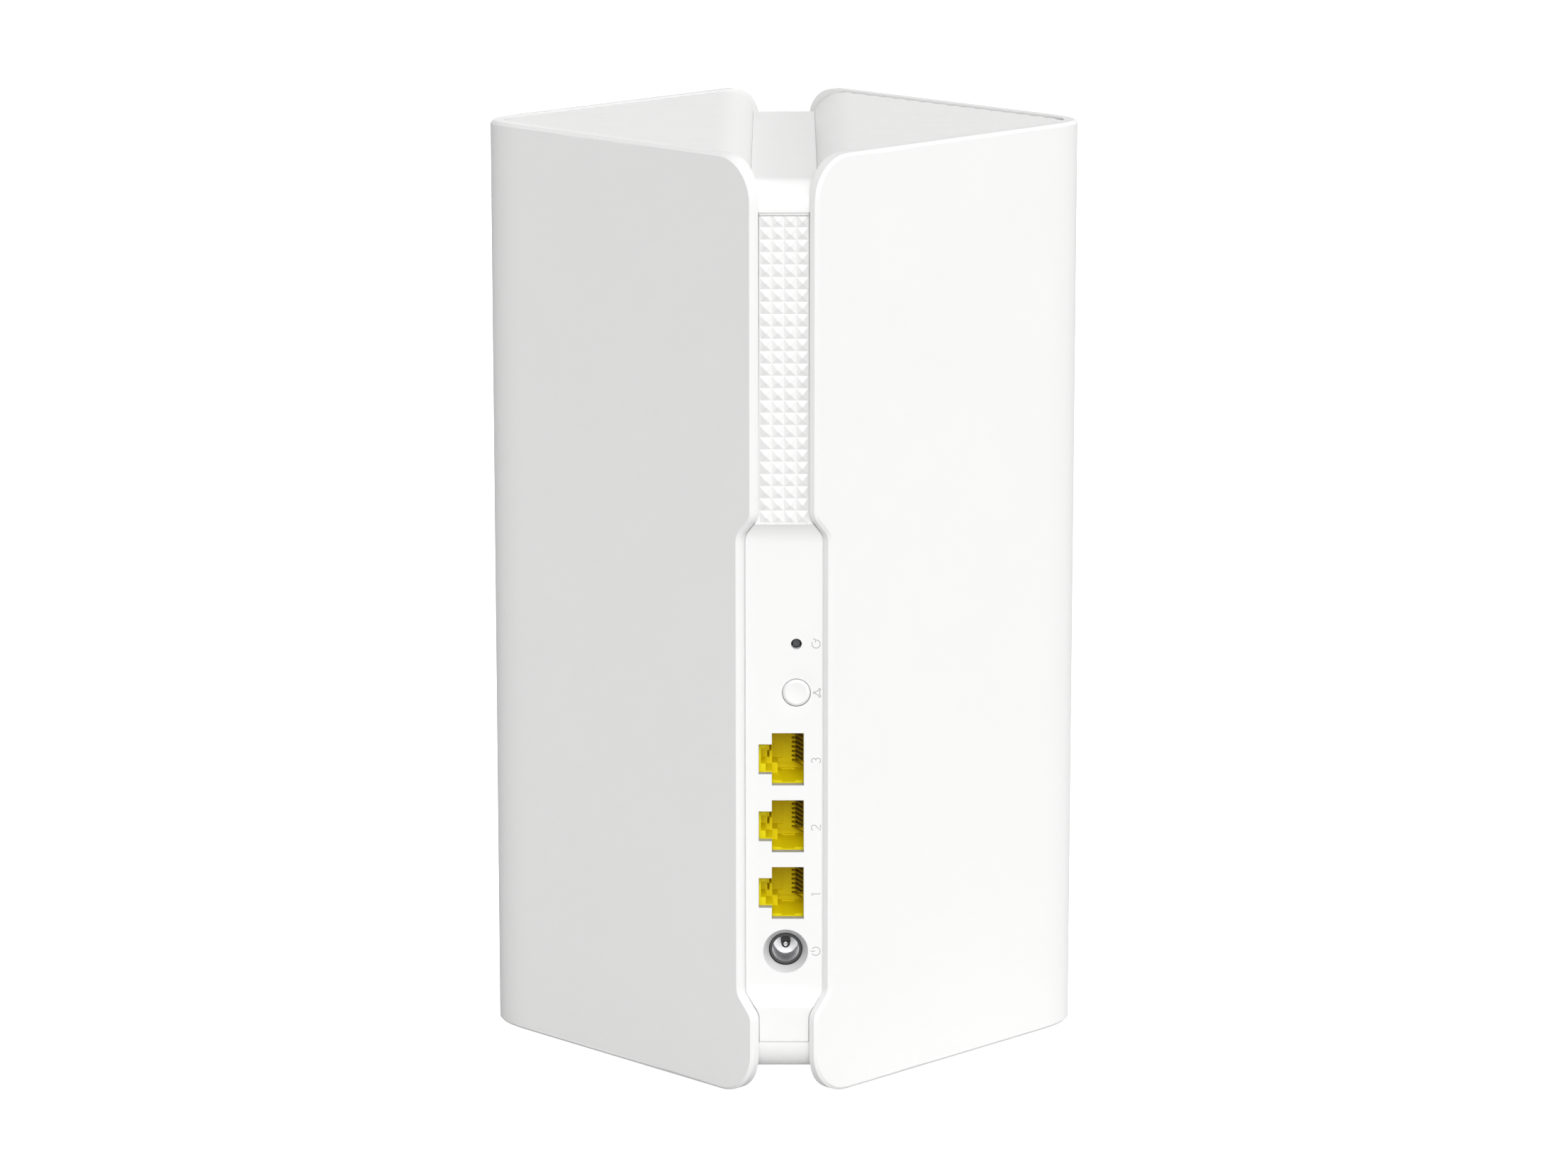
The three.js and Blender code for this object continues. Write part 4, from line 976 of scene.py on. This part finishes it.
def power_barrel():
    """The black socket, whose rounded nose shows in the panel's mouth."""
    face, end = INLET_FACE, INLET_END
    nose, bore, lining = 3.66, 2.95, 3.25
    profile = [
        (nose, end), (nose, face + 0.4), (nose - 0.08, face + 0.17), (nose - 0.28, face), (bore + 0.1, face),
        (bore + 0.02, face + 0.04), (bore, face + 0.12), (bore, face + 0.3), (lining, face + 0.3),
        (lining, end)]
    inlet_part("barrel", profile, 64, "black_plastic", replaces=["dc_jack_housing"], crease=30)


def power_sleeve():
    """The bright sleeve that lines the socket."""
    face, end = INLET_FACE, INLET_END
    outer, bore, throat = 3.15, 2.94, 1.1
    profile = [
        (outer, face + 0.4), (outer - 0.13, face + 0.34), (bore + 0.02, face + 0.4), (bore, face + 0.6),
        (bore, end - 0.3), (bore - 0.34, end), (throat, end), (throat, end + 0.3),
        (outer, end + 0.3)]
    inlet_part("sleeve", profile, 64, "chrome", replaces=["dc_jack_sleeve"], crease=50,
               material=SLEEVE)


def power_collar():
    """The black collar round the centre pin."""
    tip = PIN_TIP
    bore, outer = 0.6, 0.96
    profile = [
        (bore, tip + 0.3), (bore + 0.06, tip + 0.12), (bore + 0.18, tip + 0.06), (outer - 0.06, tip + 0.14),
        (outer, tip + 0.35), (outer, INLET_END), (bore, INLET_END)]
    inlet_part("collar", profile, 40, "black_plastic", crease=50)


def power_pin():
    """The centre pin, with a rounded and drilled tip."""
    tip = PIN_TIP
    radius = 0.58
    profile = [
        (0.1, tip + 0.5), (0.12, tip + 0.12), (0.2, tip + 0.02), (0.36, tip), (0.5, tip + 0.08),
        (radius - 0.01, tip + 0.25), (radius, INLET_END)]
    inlet_part("pin", profile, 40, "chrome", hollow=False, replaces=["dc_jack_pin"], crease=40)


def power_funnel():
    """A lining of the panel's mouth, which narrows towards the inlet; its grey is painted shade on the white
    cone.
    """
    thick = 0.05
    front, back = -PANEL_FACE, -PANEL_FACE + SPINE_SKIN
    profile = [
        (DC_MOUTH - 0.01, front + 0.02), (DC_MOUTH - 0.03, front + 0.2), (DC_THROAT + 0.02, back - 0.02),
        (DC_THROAT - thick, back - 0.02), (DC_THROAT - thick, back - 0.1), (DC_MOUTH - 0.12, front + 0.16),
        (DC_MOUTH - 0.08, front + 0.02)]
    inlet_part("funnel", profile, 64, "spine_white", crease=40, material=FUNNEL_SHADE)


def power_spring():
    """The sprung side contact above the pin, with a bent wire either side."""
    half, low, high, front, back = 0.82, 0.8, 2.8, INLET_FACE + 3.9, INLET_FACE + 6.4
    wire_half, wire_back = 0.1, INLET_FACE + 4.2
    points = box_points(DC_X - half, DC_X + half, front, back, DC_Z + low, DC_Z + high)
    faces = list(BOX_FACES)
    for side in (-1, 1):
        route = [(0.85, 1.0), (1.0, 1.5), (1.3, 2.1), (1.6, 2.45)]
        route = [Vector((DC_X + side * reach, DC_Z + rise)) for reach, rise in route]
        sides = stroke_sides(route, wire_half)
        add_rod(points, faces, [[(p.x, y, p.y) for p in pair for y in (front, wire_back)] for pair in sides])
    piece = new_object("power_inlet_spring", points, faces)
    settle(piece, "black_plastic")
    soften(piece, 0.05)


# ---- buttons and light

def mesh_button():
    """The round pressed cap: a bevelled rim around a shallow dished face, on a flanged stem."""
    low, high = millimetres("mesh_button")
    face = low.y + 0.05
    radius, crest, stem, collar, flange = 2.95, 2.36, 1.3, 3.08, 4.0
    hollow, rings = 0.22, 8
    back = -56.0
    profile = [
        (stem, high.y), (stem, back), (flange, back + 0.2), (flange, back - 0.4), (collar, back - 0.45),
        (collar, face + 0.85), (radius, face + 0.75), (radius, face + 0.4), (radius - 0.06, face + 0.32),
        (crest + 0.12, face + 0.03), (crest + 0.05, face)]
    profile += [(crest * i / rings, face + hollow * (1 - (i / rings) ** 2)) for i in range(rings, 0, -1)]
    piece = lathe("mesh_button_cap", "y", (BUTTON_X, MESH_Z), profile, 64)
    settle(piece, "spine_white", "mesh_button_body", ["mesh_button"], crease=28)


def reset_button():
    """The recessed pin of the reset switch, with a softened, slightly domed end."""
    low, high = millimetres("reset_switch_plunger")
    face = low.y
    radius = (high.x - low.x) / 2
    profile = [(radius, high.y), (radius, face + 0.2), (radius - 0.05, face + 0.08),
               (radius - 0.16, face + 0.02), (radius * 0.5, face - 0.02), (0.1, face - 0.03)]
    piece = lathe("reset_button_pin", "y", (BUTTON_X, RESET_Z), profile, 40)
    settle(piece, "lead_grey", "reset_button_body", ["reset_switch_plunger"], crease=50)


def status_light():
    """The frosted window of the status light, on a wider foot behind the strip."""
    low, high = millimetres("status_light_lens")
    base, radius, face = 3.0, 2.0, high.y
    profile = [(base, low.y), (base, low.y + 0.9), (radius, low.y + 1.0), (radius, face - 0.25),
               (radius - 0.06, face - 0.1), (radius - 0.2, face - 0.02), (1.2, face), (0.6, face + 0.01)]
    piece = lathe("status_light_window", "y", (0, LIGHT_Z), profile, 48)
    settle(piece, "lens_clear", replaces=["status_light_lens"], crease=35)


# ---- printed marks

def ribbon(points, faces, line, closed):
    """Adds a flat printed stroke along a line of (x, z) points on the panel, over the earlier strokes."""
    width, root = 0.17, 0.04
    lift = 0.012 + 0.0015 * (len(points) // 20)
    rings = []
    for pair in stroke_sides([Vector(point) for point in line], width / 2, closed):
        rings.append([(p.x, dish(*p) - PANEL_FACE + rise, p.y) for rise in (-lift, root) for p in pair])
    add_rod(points, faces, rings, closed)


def arc_line(centre, radius, start, end, steps=14):
    """Points on an arc between two angles in degrees."""
    turns = (math.radians(start + (end - start) * i / steps) for i in range(steps + 1))
    return [(centre[0] + radius * math.cos(t), centre[1] + radius * math.sin(t)) for t in turns]


def numeral(number):
    """The open strokes of an upright numeral, about 1.3 wide and 2 tall round the origin."""
    strokes = {
        1: [[(-0.4, 0.6), (0.1, 1.0), (0.1, -1.0)]],
        2: [arc_line((0, 0.42), 0.58, 165, -35) + [(-0.62, -1.0), (0.65, -1.0)]],
        3: [arc_line((0, 0.48), 0.5, 150, -84), arc_line((0, -0.45), 0.55, 78, -150)],
    }
    return [(line, False) for line in strokes[number]]


def power_sign():
    """A broken ring with a bar in its gap."""
    return [(arc_line((0, 0), 0.95, 125, 415, 28), False), ([(0, 0.15), (0, 1.15)], False)]


def mesh_sign():
    """Three linked dots."""
    corners = [Vector((0, 0.55)), Vector((-0.75, -0.6)), Vector((0.75, -0.6))]
    strokes = []
    for corner, other in zip(corners, corners[1:] + corners[:1]):
        gap = (other - corner).normalized() * 0.34
        strokes.append((arc_line(corner, 0.22, 0, 340, 16), True))
        strokes.append(([corner + gap, other - gap], False))
    return strokes


def reset_sign():
    """A turning arrow."""
    return [(arc_line((0, 0), 0.9, 60, 370, 28), False), ([(0.35, 0.2), (0.9, 0.1), (1.25, 0.6)], False)]


def turned(line, centre):
    """A line drawn upright, turned a quarter to read upwards, about a centre on the panel."""
    return [(centre[0] - z, centre[1] + x) for x, z in line]


def printed_marks():
    """Numerals beside the network sockets, and plain signs beside the inlet and the two buttons."""
    marks = [(f"socket_numeral_{n}", PRINT_X, z - 0.3, numeral(n)) for n, z in enumerate(LAN_HEIGHTS, 1)]
    marks.append(("power_sign", PRINT_X, DC_Z, power_sign()))
    marks.append(("mesh_sign", PRINT_X + 0.2, MESH_Z, mesh_sign()))
    marks.append(("reset_sign", PRINT_X, RESET_Z, reset_sign()))
    for name, x, z, strokes in marks:
        points, faces = [], []
        for line, closed in strokes:
            ribbon(points, faces, turned(line, (x, z)), closed)
        settle(new_object(name, points, faces), "lead_grey", crease=30, material=PRINT)


# ---- feet

def foot(name):
    """A round rubber foot with a softened rim and a shallow ring in its tread."""
    low, high = millimetres(name)
    centre = ((low.x + high.x) / 2, (low.y + high.y) / 2)
    radius = (high.x - low.x) / 2
    profile = [(radius, high.z), (radius, high.z - 0.2), (radius - 0.08, 0.4), (radius - 0.2, 0.12),
               (radius - 0.45, 0.0), (radius - 1.3, 0.0), (radius - 1.4, 0.12), (radius - 1.9, 0.12),
               (radius - 2.0, 0.0), (0.5, 0.0)]
    piece = lathe(name.replace("_foot", "_rubber_foot"), "z", centre, profile, 48)
    settle(piece, "foot_rubber", replaces=[name], crease=30)


# ---- the router
SLOT_OF = {part["node"]: part["material_slot"] for part in frame["record"]["subparts"]}
for node_name, node_object in frame["nodes"].items():
    node_object.data.materials.clear()
    node_object.data.materials.append(MATERIALS[SLOT_OF[node_name]])

for side_name, side in SIDES.items():
    outer_cover(side_name, side)
    inner_case(side_name, side)
    for foot_place in ("rear", "front", "outer"):
        foot(f"{side_name}_{foot_place}_foot")

spine_cap("spine_crown", 1, CAP_HIGH.z, CAP_LOW.z, "spine_top_cap")
spine_cap("spine_heel", -1, FOOT_CAP_LOW.z, FOOT_CAP_HIGH.z, "spine_bottom_cap")
seam_tongues()
rear_panel()
rear_panel_flange()
front_panel()
for number, z in enumerate(LAN_HEIGHTS, 1):
    lan_jack(number, z)
    contact_wires(number, z)
    contact_carrier(number, z)
    painted_shade_liner(number, z)
power_barrel()
power_sleeve()
power_collar()
power_pin()
power_spring()
power_funnel()
mesh_button()
reset_button()
status_light()
printed_marks()


# ---- stage, light and camera
# Lengths here are in metres, and the camera's lens is in millimetres.
FLOOR_HALF = 6.0
CAMERA_LENS = 130.65
CAMERA_PLACE = (0, -1.2650, 0.3765)
CAMERA_TILT = 12.211        # degrees below level


def floor():
    """A wide white floor. Its even glow meets the eye alone and lights nothing."""
    half = FLOOR_HALF / MM
    corners = [(-half, -half, 0), (half, -half, 0), (half, half, 0), (-half, half, 0)]
    piece = new_object("floor", corners, [(0, 1, 2, 3)])
    material, tree, shader = new_material("pale_floor", (0.7, 0.7, 0.7), 0.9)
    ray = tree.nodes.new("ShaderNodeLightPath")
    feed(tree, shader, {"Emission Color": (1, 1, 1, 1), "Emission Strength": ray.outputs["Is Camera Ray"]})
    piece.data.materials.append(material)


def sun(name, direction, strength, spread_degrees):
    """A soft sun shining from a direction."""
    light = bpy.data.lights.new(name, "SUN")
    light.energy = strength
    light.angle = math.radians(spread_degrees)
    add_object(name, light).rotation_euler = Vector(direction).to_track_quat("Z", "Y").to_euler()


def sky(left, right):
    """An even white room that is a little brighter on the right."""
    world = bpy.data.worlds.new("studio")
    world.use_nodes = True
    tree = world.node_tree
    direction = tree.nodes.new("ShaderNodeTexCoord")
    split = tree.nodes.new("ShaderNodeSeparateXYZ")
    level = tree.nodes.new("ShaderNodeMapRange")
    feed(tree, split, {"Vector": direction.outputs["Generated"]})
    feed(tree, level, {"Value": split.outputs["X"], "From Min": -1, "From Max": 1,
                       "To Min": left, "To Max": right})
    feed(tree, tree.nodes["Background"], {"Color": (1, 1, 1, 1), "Strength": level.outputs["Result"]})
    bpy.context.scene.world = world


def camera():
    """The photo's view: straight behind the router, looking down a little."""
    data = bpy.data.cameras.new("camera")
    data.sensor_width = 36
    data.lens = CAMERA_LENS
    data.clip_start = 0.05
    data.clip_end = 50
    eye = add_object("camera", data)
    eye.location = CAMERA_PLACE
    eye.rotation_euler = (math.radians(90 - CAMERA_TILT), 0, 0)
    bpy.context.scene.camera = eye


floor()
sky(left=0.05, right=0.95)
sun("key", direction=(0.047, -0.841, 0.54), strength=1.83, spread_degrees=35)
sun("top", direction=(0.1, -0.1, 1.0), strength=0.5, spread_degrees=70)
sun("fill", direction=(-0.25, 0.9, 0.04), strength=0.42, spread_degrees=30)
camera()
bpy.context.scene.view_settings.view_transform = "Standard"
